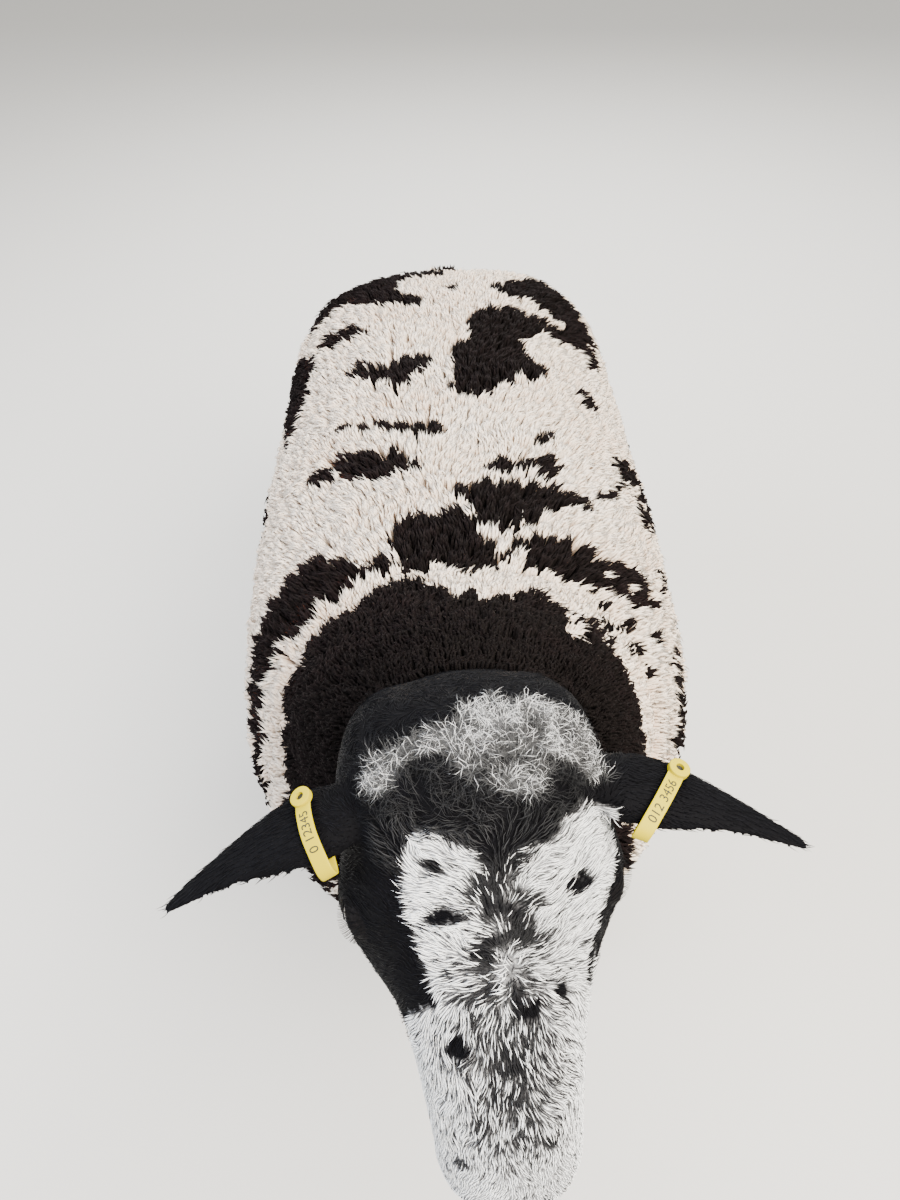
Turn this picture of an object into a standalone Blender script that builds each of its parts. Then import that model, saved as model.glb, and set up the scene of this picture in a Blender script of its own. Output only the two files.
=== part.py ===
"""A Dutch spotted sheep, standing, as a still life-size model.

Metres, +Z up. The sheep faces -Y, so its left side is at +X. The hooves stand
on the plane z = 0 and the origin is below the middle of the whole animal.
"""
import math
import random

import bmesh
import bpy
from mathutils import Matrix, Vector

# Overall places, before the model is moved so that its middle is over the origin
ORIGIN_SHIFT = Vector((0.0, 0.1492, 0.0))
GAP = 0.0003
SEED = 41

# Coat: the stations below give the tips of the coat, and the core lies inside them
CLUMP_RISE = 0.026
LEG_CLUMP_RISE = 0.011
# Zone of the coat: distance between clumps, rise above the core, depth of the root
COAT = {
    "body": (0.076, CLUMP_RISE, 0.020),
    "neck": (0.062, 0.019, 0.016),
    "tail": (0.046, 0.012, 0.012),
    "leg": (0.046, LEG_CLUMP_RISE, 0.011),
}
CLUMP_SIDES = 7
CLUMP_SPREAD = 0.78
# Rings of a clump, from the root up: share of the rise, share of the radius, lean
CLUMP_PROFILE = ((0.10, 1.00, 0.00), (0.62, 0.76, 0.06), (0.92, 0.38, 0.12))
COAT_DETAIL = 0.48

# Torso, from the buttocks to the chest: y, top, bottom, half width
TORSO = [
    (0.474, 0.672, 0.520, 0.100),
    (0.452, 0.718, 0.472, 0.166),
    (0.400, 0.755, 0.430, 0.209),
    (0.310, 0.778, 0.402, 0.231),
    (0.180, 0.788, 0.388, 0.239),
    (0.000, 0.790, 0.383, 0.246),
    (-0.150, 0.795, 0.386, 0.248),
    (-0.280, 0.800, 0.394, 0.242),
    (-0.380, 0.790, 0.408, 0.230),
    (-0.460, 0.750, 0.432, 0.198),
    (-0.515, 0.690, 0.470, 0.150),
    (-0.540, 0.630, 0.515, 0.085),
]
TORSO_ENDS = ((0.482, 0.600), (-0.550, 0.570))
TORSO_SQUARENESS = 2.4
RUMP_SQUARENESS = 2.9
RUMP_START = 0.10
RUMP_FULL = 0.36

# Neck, from the shoulders to the head: top (y, z), bottom (y, z), half width, middle x
NECK = [
    ((-0.220, 0.768), (-0.430, 0.470), 0.190, 0.000),
    ((-0.300, 0.798), (-0.505, 0.555), 0.184, 0.000),
    ((-0.385, 0.838), (-0.560, 0.650), 0.158, 0.000),
    ((-0.470, 0.895), (-0.594, 0.738), 0.124, 0.000),
    ((-0.545, 0.948), (-0.610, 0.802), 0.092, 0.000),
    ((-0.605, 0.992), (-0.619, 0.850), 0.075, 0.001),
    ((-0.655, 1.006), (-0.644, 0.900), 0.060, 0.003),
]
NECK_RISE = (0.026, 0.026, 0.024, 0.018, 0.008, 0.0, 0.0)
WOOL_EDGE_TOP = Vector((0.0, -0.560, 0.955))
WOOL_EDGE_THROAT = Vector((0.0, -0.600, 0.800))
NECK_START = Vector((0.0, -0.360, 0.800))
NECK_WAY = Vector((0.0, -0.66, 0.75))
NECK_ZONE = (-0.40, 0.68)

# Legs: height, y, x, half depth, half width; the wool ends above the knee and hock
FRONT_LEG = [
    (0.600, -0.310, 0.125, 0.090, 0.060),
    (0.470, -0.287, 0.136, 0.090, 0.066),
    (0.400, -0.277, 0.130, 0.074, 0.058),
    (0.345, -0.274, 0.122, 0.049, 0.043),
    (0.300, -0.275, 0.116, 0.033, 0.030),
    (0.258, -0.280, 0.113, 0.0275, 0.0250),
    (0.225, -0.278, 0.112, 0.0215, 0.0205),
    (0.160, -0.276, 0.111, 0.0178, 0.0168),
    (0.108, -0.276, 0.110, 0.0195, 0.0185),
    (0.086, -0.277, 0.110, 0.0230, 0.0222),
    (0.066, -0.287, 0.110, 0.0200, 0.0208),
    (0.047, -0.299, 0.110, 0.0235, 0.0260),
]
HIND_LEG = [
    (0.640, 0.280, 0.100, 0.090, 0.060),
    (0.560, 0.292, 0.128, 0.118, 0.074),
    (0.470, 0.300, 0.138, 0.122, 0.076),
    (0.400, 0.325, 0.136, 0.099, 0.066),
    (0.345, 0.360, 0.129, 0.069, 0.048),
    (0.302, 0.388, 0.122, 0.048, 0.033),
    (0.272, 0.407, 0.118, 0.0410, 0.0255),
    (0.248, 0.410, 0.116, 0.0335, 0.0245),
    (0.222, 0.409, 0.115, 0.0255, 0.0205),
    (0.160, 0.406, 0.113, 0.0195, 0.0172),
    (0.108, 0.403, 0.112, 0.0208, 0.0190),
    (0.086, 0.402, 0.112, 0.0240, 0.0224),
    (0.066, 0.391, 0.112, 0.0205, 0.0210),
    (0.047, 0.378, 0.112, 0.0235, 0.0260),
]
LEG_STEPS = (("front_left", FRONT_LEG, 1, -0.008), ("front_right", FRONT_LEG, -1, 0.012),
             ("hind_left", HIND_LEG, 1, -0.030), ("hind_right", HIND_LEG, -1, 0.006))
LEG_CUT = 0.374
SHANK_CUT = 0.262
FETLOCK = 0.086
LEG_WOOL_END = 0.285
CORONET_SLOPE = 0.38
CLAW_CLEFT = 0.0036
CLAW_TOE = 0.040
CLAW_HEEL = 0.026
CLAW_HALF_WIDTH = 0.0262
DEWCLAW = (0.0075, 0.0075, 0.011)

# Tail, docked short and woolly: y, z, half width, half depth
TAIL = [
    (0.410, 0.668, 0.034, 0.026),
    (0.450, 0.668, 0.036, 0.026),
    (0.482, 0.655, 0.037, 0.026),
    (0.500, 0.625, 0.038, 0.025),
    (0.507, 0.585, 0.037, 0.025),
    (0.508, 0.552, 0.030, 0.021),
    (0.508, 0.532, 0.016, 0.012),
]
TAIL_CUT = 0.482

# Head: the poll is the back of its top line, and the face runs down from it
POLL = Vector((-0.003, -0.6805, 1.0313))
HEAD_YAW = math.radians(5.6)
HEAD_PITCH = math.radians(50)
HEAD_LENGTH = 0.2886
# Distance from the poll, half width, top, bottom, all along the face
HEAD = [
    (-0.014, 0.050, -0.024, -0.104),
    (0.000, 0.066, -0.004, -0.126),
    (0.028, 0.0765, 0.009, -0.142),
    (0.062, 0.0785, 0.012, -0.147),
    (0.096, 0.0755, 0.008, -0.143),
    (0.126, 0.0690, 0.003, -0.131),
    (0.155, 0.0595, 0.003, -0.114),
    (0.184, 0.0510, 0.003, -0.099),
    (0.213, 0.0460, 0.001, -0.089),
    (0.242, 0.0430, -0.003, -0.084),
    (0.262, 0.0412, -0.009, -0.083),
    (0.274, 0.0375, -0.016, -0.081),
    (0.282, 0.0310, -0.025, -0.076),
    (0.2865, 0.0205, -0.036, -0.067),
]
HEAD_ENDS = ((-0.022, -0.065), (HEAD_LENGTH, -0.051))
HEAD_CUT_TOP = Vector((0.0, -0.628, 1.006))
HEAD_CUT_THROAT = Vector((0.0, -0.620, 0.862))

# Eyes, with lids, and the mouth
EYE_RADIUS = 0.0132
EYE_ALONG = 0.101
EYE_OUT = 0.0668
EYE_DOWN = -0.036
LID_THICKNESS = 0.0030
EYE_OPENING = (0.0125, 0.0080)
ORBIT_SWELL = 0.0105
ORBIT_SPREAD = (0.030, 0.024)
MOUTH_DOWN = -0.0590
MOUTH_BACK = 0.211
MOUTH_GROOVE = 0.0018
MOUTH_DEPTH = 0.0060
NOSTRIL_ALONG = 0.2755
NOSTRIL_OUT = 0.0210
NOSTRIL_DOWN = -0.0315
NOSTRIL = (0.0120, 0.0036, 0.0120)

# Ears: held out sideways, a little forward and drooping
EAR_ROOT_ALONG = 0.034
EAR_ROOT_OUT = 0.060
EAR_ROOT_DOWN = -0.027
EAR_LENGTH = 0.135
EAR_FORWARD = math.radians(25)
EAR_DROOP = {1: math.radians(-4.6), -1: math.radians(8.0)}
EAR_CUT = 0.0824
EAR_LEAN = math.radians(55)
EAR_SAG = 0.008
# Fraction of the length, half width, bow of the back, bow of the inside
EAR = [
    (0.00, 0.0150, 0.0140, -0.0100),
    (0.12, 0.0205, 0.0150, -0.0065),
    (0.20, 0.0240, 0.0150, 0.0050),
    (0.31, 0.0245, 0.0135, 0.0094),
    (0.44, 0.0210, 0.0110, 0.0076),
    (0.58, 0.0150, 0.0082, 0.0054),
    (0.74, 0.0095, 0.0057, 0.0032),
    (0.88, 0.0052, 0.0035, 0.0013),
    (0.98, 0.0022, 0.0019, 0.0002),
]

# Ear tags: a strap from a button on the back of the ear, round its front edge
TAG_ALONG = {1: 0.0475, -1: 0.0315}
TAG_SLANT = {1: -0.32, -1: 0.05}
TAG_BACK = 0.010
TAG_BUTTON_RADIUS = 0.0062
TAG_BUTTON_HOLE = 0.0020
TAG_BUTTON_HEIGHT = 0.0042
TAG_STRAP_WIDTH = 0.0092
TAG_STRAP_THICKNESS = 0.0015
TAG_CLEARANCE = 0.0030
TAG_RIM = 0.0058
TAG_DROP = 0.0066
TAG_PIN_RADIUS = 0.0018

COLOURS = {
    "wool": (0.72, 0.62, 0.52),
    "fur": (0.03, 0.03, 0.035),
    "skin": (0.45, 0.42, 0.40),
    "hoof": (0.06, 0.05, 0.045),
    "eye": (0.10, 0.055, 0.02),
    "tag": (0.85, 0.72, 0.02),
}
ROUGHNESS = {"wool": 0.95, "fur": 0.8, "skin": 0.8, "hoof": 0.55, "eye": 0.05, "tag": 0.4}


def clear_scene():
    for thing in list(bpy.data.objects):
        bpy.data.objects.remove(thing, do_unlink=True)


def material(name):
    found = bpy.data.materials.get(name)
    if found:
        return found
    made = bpy.data.materials.new(name)
    made.use_nodes = True
    shader = made.node_tree.nodes["Principled BSDF"]
    shader.inputs["Base Color"].default_value = (*COLOURS[name], 1.0)
    shader.inputs["Roughness"].default_value = ROUGHNESS[name]
    shader.inputs["Metallic"].default_value = 0.0
    return made


def mesh_object(name, points, faces, finish):
    mesh = bpy.data.meshes.new(name)
    mesh.from_pydata([tuple(p) for p in points], [], faces)
    shape = bmesh.new()
    shape.from_mesh(mesh)
    bmesh.ops.recalc_face_normals(shape, faces=shape.faces)
    if shape.calc_volume(signed=True) < 0:
        bmesh.ops.reverse_faces(shape, faces=shape.faces)
    shape.to_mesh(mesh)
    shape.free()
    mesh.materials.append(material(finish))
    thing = bpy.data.objects.new(name, mesh)
    bpy.context.scene.collection.objects.link(thing)
    return thing


def loft(name, rings, finish, tips=(None, None)):
    """Join rings of equal count, each end closed by a flat cap or drawn to a tip."""
    count = len(rings[0])
    points = [p for ring in rings for p in ring]
    faces = []
    for r in range(len(rings) - 1):
        for i in range(count):
            j = (i + 1) % count
            a, b = r * count, (r + 1) * count
            faces.append((a + i, a + j, b + j, b + i))
    for end, tip in enumerate(tips):
        first = 0 if end == 0 else (len(rings) - 1) * count
        rim = [first + i for i in range(count)]
        if tip is None:
            faces.append(rim)
            continue
        points.append(tip)
        hub = len(points) - 1
        faces.extend((rim[i], rim[(i + 1) % count], hub) for i in range(count))
    return mesh_object(name, points, faces, finish)


def blend_rows(rows, steps):
    """Read a smooth curve through the rows, with the given number of steps between them."""
    def value(k, column):
        return rows[max(0, min(len(rows) - 1, k))][column]

    result = []
    for k in range(len(rows) - 1):
        for s in range(steps):
            t = s / steps
            row = []
            for c in range(len(rows[0])):
                p0, p1, p2, p3 = (value(k + d, c) for d in (-1, 0, 1, 2))
                row.append(0.5 * (2 * p1 + (p2 - p0) * t + (2 * p0 - 5 * p1 + 4 * p2 - p3) * t * t
                                  + (3 * p1 - p0 - 3 * p2 + p3) * t ** 3))
            result.append(tuple(row))
    result.append(tuple(rows[-1]))
    return result


def squared(angle, squareness):
    """A point of a unit ring whose corners fill out as the squareness rises."""
    c, s = math.cos(angle), math.sin(angle)
    power = 2.0 / squareness
    return math.copysign(abs(c) ** power, c), math.copysign(abs(s) ** power, s)


def ring_angles(count):
    return [2 * math.pi * (i + 0.5) / count for i in range(count)]


def torso_core():
    rings = []
    for y, top, bottom, half in blend_rows(TORSO, 2):
        rump = min(1.0, max(0.0, (y - RUMP_START) / (RUMP_FULL - RUMP_START)))
        squareness = TORSO_SQUARENESS + (RUMP_SQUARENESS - TORSO_SQUARENESS) * rump
        middle = (top + bottom) / 2
        tall = (top - bottom) / 2 - CLUMP_RISE
        wide = half - CLUMP_RISE
        ring = []
        for a in ring_angles(24):
            u, v = squared(a, squareness)
            ring.append(Vector((u * wide, y * (1 - CLUMP_RISE / 0.5), middle + v * tall)))
        rings.append(ring)
    ends = [Vector((0, y * (1 - CLUMP_RISE / 0.5), z)) for y, z in TORSO_ENDS]
    return loft("torso", rings, "wool", ends)


def neck_core():
    rows = [(*top, *bottom, half, x, rise)
            for (top, bottom, half, x), rise in zip(NECK, NECK_RISE)]
    rings = []
    for ty, tz, by, bz, half, x, rise in blend_rows(rows, 2):
        top, bottom = Vector((x, ty, tz)), Vector((x, by, bz))
        middle, upright = (top + bottom) / 2, (top - bottom).normalized()
        tall = (top - bottom).length / 2 - rise
        ring = []
        for a in ring_angles(20):
            u, v = squared(a, 2.2)
            ring.append(middle + Vector((u * (half - rise), 0, 0)) + upright * (v * tall))
        rings.append(ring)
    return loft("neck", rings, "wool")


def leg_core(name, rows, side, step):
    rings = []
    fine = blend_rows(rows, 2)
    for k, (z, y, x, deep, wide) in enumerate(fine):
        rise = LEG_CLUMP_RISE * min(1.0, max(0.0, (z - LEG_WOOL_END) / 0.03))
        moved = step * min(1.0, max(0.0, (rows[0][0] - z) / 0.3))
        slope = CORONET_SLOPE if k == len(fine) - 1 else 0.0
        ring = []
        for a in ring_angles(14):
            u, v = squared(a, 2.1)
            dy = v * (deep - rise)
            ring.append(Vector((side * x + u * (wide - rise), y + moved + dy, z - slope * dy)))
        rings.append(ring)
    leg = loft(name, rings, "wool")
    z, y, x, deep, wide = next(row for row in rows if row[0] == FETLOCK)
    dewclaws = []
    for out in (-1, 1):
        place = Vector((side * x + out * 0.011, y + step + deep - 0.001, z - 0.006))
        dewclaws.append(ball(name + "_dewclaw", place, DEWCLAW, 8, 6))
    return join(leg, dewclaws)


def ball(name, place, size, segments, rings, turn=None):
    shape = bmesh.new()
    bmesh.ops.create_uvsphere(shape, u_segments=segments, v_segments=rings, radius=1.0)
    scale = Matrix.Diagonal((*size, 1.0))
    turned = turn.to_4x4() if turn else Matrix.Identity(4)
    bmesh.ops.transform(shape, matrix=Matrix.Translation(place) @ turned @ scale, verts=shape.verts)
    mesh = bpy.data.meshes.new(name)
    shape.to_mesh(mesh)
    shape.free()
    thing = bpy.data.objects.new(name, mesh)
    bpy.context.scene.collection.objects.link(thing)
    return thing


def tail_core():
    rows = blend_rows(TAIL, 2)
    rings = []
    for k, (y, z, wide, deep) in enumerate(rows):
        before, after = rows[max(0, k - 1)], rows[min(len(rows) - 1, k + 1)]
        along = Vector((0, after[0] - before[0], after[1] - before[1])).normalized()
        across = Vector((0, -along.z, along.y))
        ring = []
        for a in ring_angles(12):
            u, v = squared(a, 2.0)
            ring.append(Vector((u * wide, y, z)) + across * (v * deep))
        rings.append(ring)
    return loft("tail", rings, "wool", (None, Vector((0, TAIL[-1][0], TAIL[-1][1] - 0.010))))


def tidy(thing):
    """Keep only the largest closed surface, as triangles."""
    shape = bmesh.new()
    shape.from_mesh(thing.data)
    bmesh.ops.triangulate(shape, faces=shape.faces)
    left = set(shape.faces)
    pieces = []
    while left:
        piece, queue = [], [left.pop()]
        while queue:
            face = queue.pop()
            piece.append(face)
            for edge in face.edges:
                for other in edge.link_faces:
                    if other in left:
                        left.remove(other)
                        queue.append(other)
        pieces.append(piece)
    pieces.sort(key=lambda faces: sum(f.calc_area() for f in faces))
    loose = [f for piece in pieces[:-1] for f in piece]
    bmesh.ops.delete(shape, geom=loose, context="FACES")
    shape.to_mesh(thing.data)
    shape.free()
    return thing


def apply_modifiers(thing):
    depsgraph = bpy.context.evaluated_depsgraph_get()
    result = bpy.data.meshes.new_from_object(thing.evaluated_get(depsgraph))
    thing.modifiers.clear()
    thing.data = result
    return thing


def join(base, others, solver="EXACT"):
    """One Boolean union of a piece with a collection of closed pieces."""
    group = bpy.data.collections.new("pieces")
    bpy.context.scene.collection.children.link(group)
    for other in others:
        group.objects.link(other)
    union = base.modifiers.new("union", "BOOLEAN")
    union.operation = "UNION"
    union.operand_type = "COLLECTION"
    union.collection = group
    union.solver = solver
    apply_modifiers(base)
    for other in others:
        bpy.data.objects.remove(other, do_unlink=True)
    bpy.data.collections.remove(group)
    return base


def cut(base, cutter, operation="DIFFERENCE", solver="EXACT"):
    change = base.modifiers.new("cut", "BOOLEAN")
    change.operation = operation
    change.object = cutter
    change.solver = solver
    apply_modifiers(base)
    bpy.data.objects.remove(cutter, do_unlink=True)
    return base


def half_space(point, normal, size=2.0):
    """A large block that fills the side of a plane that its normal points to."""
    normal = normal.normalized()
    side = normal.cross(Vector((1, 0, 0)))
    if side.length < 0.1:
        side = normal.cross(Vector((0, 1, 0)))
    side.normalize()
    other = normal.cross(side)
    turn = Matrix((side, other, normal)).transposed()
    shape = bmesh.new()
    bmesh.ops.create_cube(shape, size=size)
    move = Matrix.Translation(point + normal * (size / 2)) @ turn.to_4x4()
    bmesh.ops.transform(shape, matrix=move, verts=shape.verts)
    mesh = bpy.data.meshes.new("block")
    shape.to_mesh(mesh)
    shape.free()
    block = bpy.data.objects.new("block", mesh)
    bpy.context.scene.collection.objects.link(block)
    return block


def copy_of(thing, name):
    made = bpy.data.objects.new(name, thing.data.copy())
    bpy.context.scene.collection.objects.link(made)
    return made


def split(thing, point, normal, beyond_name):
    """Part a solid by a thin plane cut, and give back the near and the far piece."""
    far = copy_of(thing, beyond_name)
    normal = normal.normalized()
    cut(far, half_space(point + normal * (GAP / 2), normal), "INTERSECT")
    cut(thing, half_space(point - normal * (GAP / 2), normal))
    return thing, far


def is_woolly(place):
    edge = WOOL_EDGE_THROAT - WOOL_EDGE_TOP
    ahead = Vector((0, edge.z, -edge.y)).normalized()
    if (place - WOOL_EDGE_TOP).dot(ahead) > 0:
        return False
    return place.z > LEG_WOOL_END + 0.015


def lie_of(place, normal):
    """The wool lies back along the body and hangs down its sides."""
    flow = Vector((0, 0.6, -0.8 + 0.6 * max(0.0, normal.z)))
    flow -= normal * flow.dot(normal)
    return flow.normalized()


def coat_zone(place):
    if place.y > TAIL_CUT - 0.010:
        return "tail"
    if place.z < LEG_CUT + 0.020:
        return "leg"
    if place.y < NECK_ZONE[0] and place.z > NECK_ZONE[1]:
        return "neck"
    return "body"


def clump_places(core):
    """Spread points evenly over the woolly part of the core, at the pitch of each zone."""
    rng = random.Random(SEED)
    shape = bmesh.new()
    shape.from_mesh(core.data)
    bmesh.ops.triangulate(shape, faces=shape.faces)
    faces = list(shape.faces)
    areas = [f.calc_area() for f in faces]
    picked = []
    for face in rng.choices(faces, areas, k=24000):
        a, b = rng.random(), rng.random()
        if a + b > 1:
            a, b = 1 - a, 1 - b
        p, q, r = (v.co for v in face.verts)
        place = p + (q - p) * a + (r - p) * b
        if not is_woolly(place):
            continue
        zone = coat_zone(place)
        pitch = COAT[zone][0]
        if all((place - far).length > 0.5 * (pitch + COAT[other][0]) for far, _, other in picked):
            picked.append((place, face.normal.copy(), zone))
    shape.free()
    return picked


def clump(place, normal, zone, rng):
    """A rounded clump of wool, its root sunk in the core and its tip leaning with the lie."""
    pitch, rise, sink = COAT[zone]
    rise *= rng.uniform(0.85, 1.12)
    radius = pitch * CLUMP_SPREAD * rng.uniform(0.93, 1.08)
    flow = lie_of(place, normal)
    across = normal.cross(flow).normalized()
    turn = rng.uniform(0, math.pi)
    rings = []
    for share, spread, lean in ((-sink / rise, 0.86, -0.08),) + CLUMP_PROFILE:
        ring = []
        for i in range(CLUMP_SIDES):
            a = turn + 2 * math.pi * i / CLUMP_SIDES
            out = flow * (math.cos(a) * 1.06) + across * (math.sin(a) * 0.95)
            ring.append(place + (out * spread + flow * lean) * radius + normal * (rise * share))
        rings.append(ring)
    tip = place + normal * rise + flow * (radius * 0.14)
    return loft("clump", rings, "wool", (None, tip))


def head_axes():
    yaw, pitch = HEAD_YAW, HEAD_PITCH
    along = Vector((math.sin(yaw) * math.cos(pitch), -math.cos(yaw) * math.cos(pitch),
                    -math.sin(pitch)))
    out = Vector((math.cos(yaw), math.sin(yaw), 0.0))
    up = out.cross(along).normalized()
    return along, out, up if up.z > 0 else -up


def on_head(along, out, up):
    """A place given along the face, out to the sheep's left, and up from the face's top line."""
    a, o, u = head_axes()
    return POLL + a * along + o * out + u * up


def head_core():
    a, o, u = head_axes()
    rings = []
    for s, half, top, bottom in blend_rows(HEAD, 2):
        middle, tall = (top + bottom) / 2, (top - bottom) / 2
        jaw = 0.30 * min(1.0, max(0.0, 1.0 - abs(s - 0.14) / 0.16))
        ring = []
        for angle in ring_angles(24):
            p, q = squared(angle, 2.25)
            narrow = 1.0 - jaw * max(0.0, -q) ** 1.5
            rise = middle + q * tall
            off = ((s - EYE_ALONG) / ORBIT_SPREAD[0]) ** 2 + ((rise - EYE_DOWN) / ORBIT_SPREAD[1]) ** 2
            swell = ORBIT_SWELL * math.exp(-off) * math.copysign(1, p)
            ring.append(POLL + a * s + o * (p * half * narrow + swell) + u * rise)
        rings.append(ring)
    ends = [on_head(s, 0, rise) for s, rise in HEAD_ENDS]
    return loft("head", rings, "fur", ends)


def ear(side):
    a, o, u = head_axes()
    root = on_head(EAR_ROOT_ALONG, side * EAR_ROOT_OUT, EAR_ROOT_DOWN)
    droop = EAR_DROOP[side]
    run = (o * side * math.cos(EAR_FORWARD) + a * math.sin(EAR_FORWARD)) * math.cos(droop)
    run -= u * math.sin(droop)
    run.normalize()
    back = (u * math.cos(EAR_LEAN) - a * math.sin(EAR_LEAN))
    back = (back - run * back.dot(run)).normalized()
    wide = run.cross(back).normalized()
    rings = []
    for t, half, bow, hollow in blend_rows(EAR, 2):
        sag = EAR_SAG * math.sin(math.pi * t)
        middle = root + run * (t * EAR_LENGTH) + back * (sag - 0.6 * bow)
        ring = []
        steps = 6
        for i in range(steps + 1):
            f = math.pi * (i / steps - 0.5)
            ring.append(middle + wide * (half * math.sin(f)) + back * (bow * math.cos(f)))
        for i in range(steps - 1, 0, -1):
            f = math.pi * (i / steps - 0.5)
            inner = half * 0.93 * math.sin(f)
            ring.append(middle + wide * inner + back * (hollow * math.cos(f)))
        rings.append(ring)
    tip = root + run * EAR_LENGTH
    return loft("ear", rings, "fur", (None, tip)), root, run, back, wide


def finish_head(head):
    """Lids, eye sockets, nostrils and the line of the mouth."""
    a, o, u = head_axes()
    eyes = []
    for side, word in ((1, "left"), (-1, "right")):
        centre = on_head(EYE_ALONG, side * EYE_OUT, EYE_DOWN)
        outward = (o * side * 0.93 + a * 0.25 + u * 0.20).normalized()
        lid = ball("lid", centre, [EYE_RADIUS + LID_THICKNESS] * 3, 12, 8)
        join(head, [lid])
        cut(head, ball("socket", centre, [EYE_RADIUS + GAP] * 3, 12, 8))
        level = (a - outward * a.dot(outward)).normalized()
        turn = Matrix((level, outward.cross(level), outward)).transposed()
        reach = centre + outward * EYE_RADIUS
        opening = (EYE_OPENING[0], EYE_OPENING[1], 0.013)
        cut(head, ball("opening", reach, opening, 12, 6, turn))
        eye = ball("eye_" + word, centre, [EYE_RADIUS] * 3, 12, 8)
        eye.data.materials.append(material("eye"))
        eyes.append(eye)
        hole = on_head(NOSTRIL_ALONG, side * NOSTRIL_OUT, NOSTRIL_DOWN)
        slant = (o * side * 0.75 + u * 0.50 - a * 0.45).normalized()
        normal = slant.cross(a).normalized()
        turn = Matrix((slant, normal, slant.cross(normal))).transposed()
        cut(head, ball("nostril", hole, NOSTRIL, 10, 6, turn))
    cut(head, mouth_cutter())
    return eyes


def mouth_cutter():
    """A thin rim that follows the lips and is cut a little way into them."""
    a, o, u = head_axes()
    outline = []
    rows = [row for row in blend_rows(HEAD, 1) if row[0] >= MOUTH_BACK]
    for s, half, top, bottom in rows:
        middle, tall = (top + bottom) / 2, (top - bottom) / 2
        drop = min(0.98, abs(MOUTH_DOWN - middle) / tall)
        outline.append((s, half * (1 - drop ** 2.25) ** (1 / 2.25)))
    reach = HEAD_LENGTH + 0.012
    inner = [(s, max(0.004, w - MOUTH_DEPTH)) for s, w in outline[:-1]]
    inner.append((HEAD_LENGTH - MOUTH_DEPTH - 0.004, 0.004))
    outer = [(s, w + 0.012) for s, w in outline[:-1]]
    outer[0] = (MOUTH_BACK, inner[0][1] + 0.001)
    outer.append((reach, 0.020))
    path_in = [(s, w) for s, w in inner] + [(s, -w) for s, w in reversed(inner)]
    path_out = [(s, w) for s, w in outer] + [(s, -w) for s, w in reversed(outer)]
    points, faces = [], []
    count = len(path_in)
    for lift in (-MOUTH_GROOVE / 2, MOUTH_GROOVE / 2):
        for path in (path_in, path_out):
            for s, w in path:
                rise = MOUTH_DOWN + lift
                points.append(POLL + a * s + o * w + u * rise)
    for i in range(count - 1):
        j = i + 1
        low_in, low_out, high_in, high_out = (k * count for k in range(4))
        faces.append((low_in + i, low_in + j, low_out + j, low_out + i))
        faces.append((high_in + i, high_in + j, high_out + j, high_out + i))
        faces.append((low_in + i, low_in + j, high_in + j, high_in + i))
        faces.append((low_out + i, low_out + j, high_out + j, high_out + i))
    for i in (0, count - 1):
        faces.append((i, count + i, 3 * count + i, 2 * count + i))
    return mesh_object("mouth", points, faces, "fur")


def claws(word, rows, side, step):
    """Two claws to a foot, each with a flat sole, a rounded toe and a straight inner wall."""
    z, y, x, deep, wide = rows[-1]
    middle = Vector((side * x, y + step, 0.0))
    made = []
    for claw_side, claw_word in ((1, "left"), (-1, "right")):
        rings = []
        for f in (0.0, 0.35, 0.75, 1.0):
            toe = CLAW_TOE + (deep - CLAW_TOE) * f
            heel = CLAW_HEEL + (deep - CLAW_HEEL) * f
            half = CLAW_HALF_WIDTH + 0.0012 * math.sin(math.pi * f) + (wide - CLAW_HALF_WIDTH) * f
            ring = []
            steps = 9
            for i in range(steps + 1):
                turned = math.pi * (i / steps - 0.5)
                along = math.sin(turned)
                dy = along * (heel if along > 0 else toe) - 0.010 * (1 - f)
                out = CLAW_CLEFT / 2 + (half - CLAW_CLEFT / 2) * math.cos(turned) ** 0.75
                coronet = z - GAP - CORONET_SLOPE * dy
                ring.append(middle + Vector((claw_side * out, dy, coronet * f)))
            rings.append(ring)
        made.append(loft(f"hoof_{word}_{claw_word}_claw", rings, "hoof"))
    return made


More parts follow.
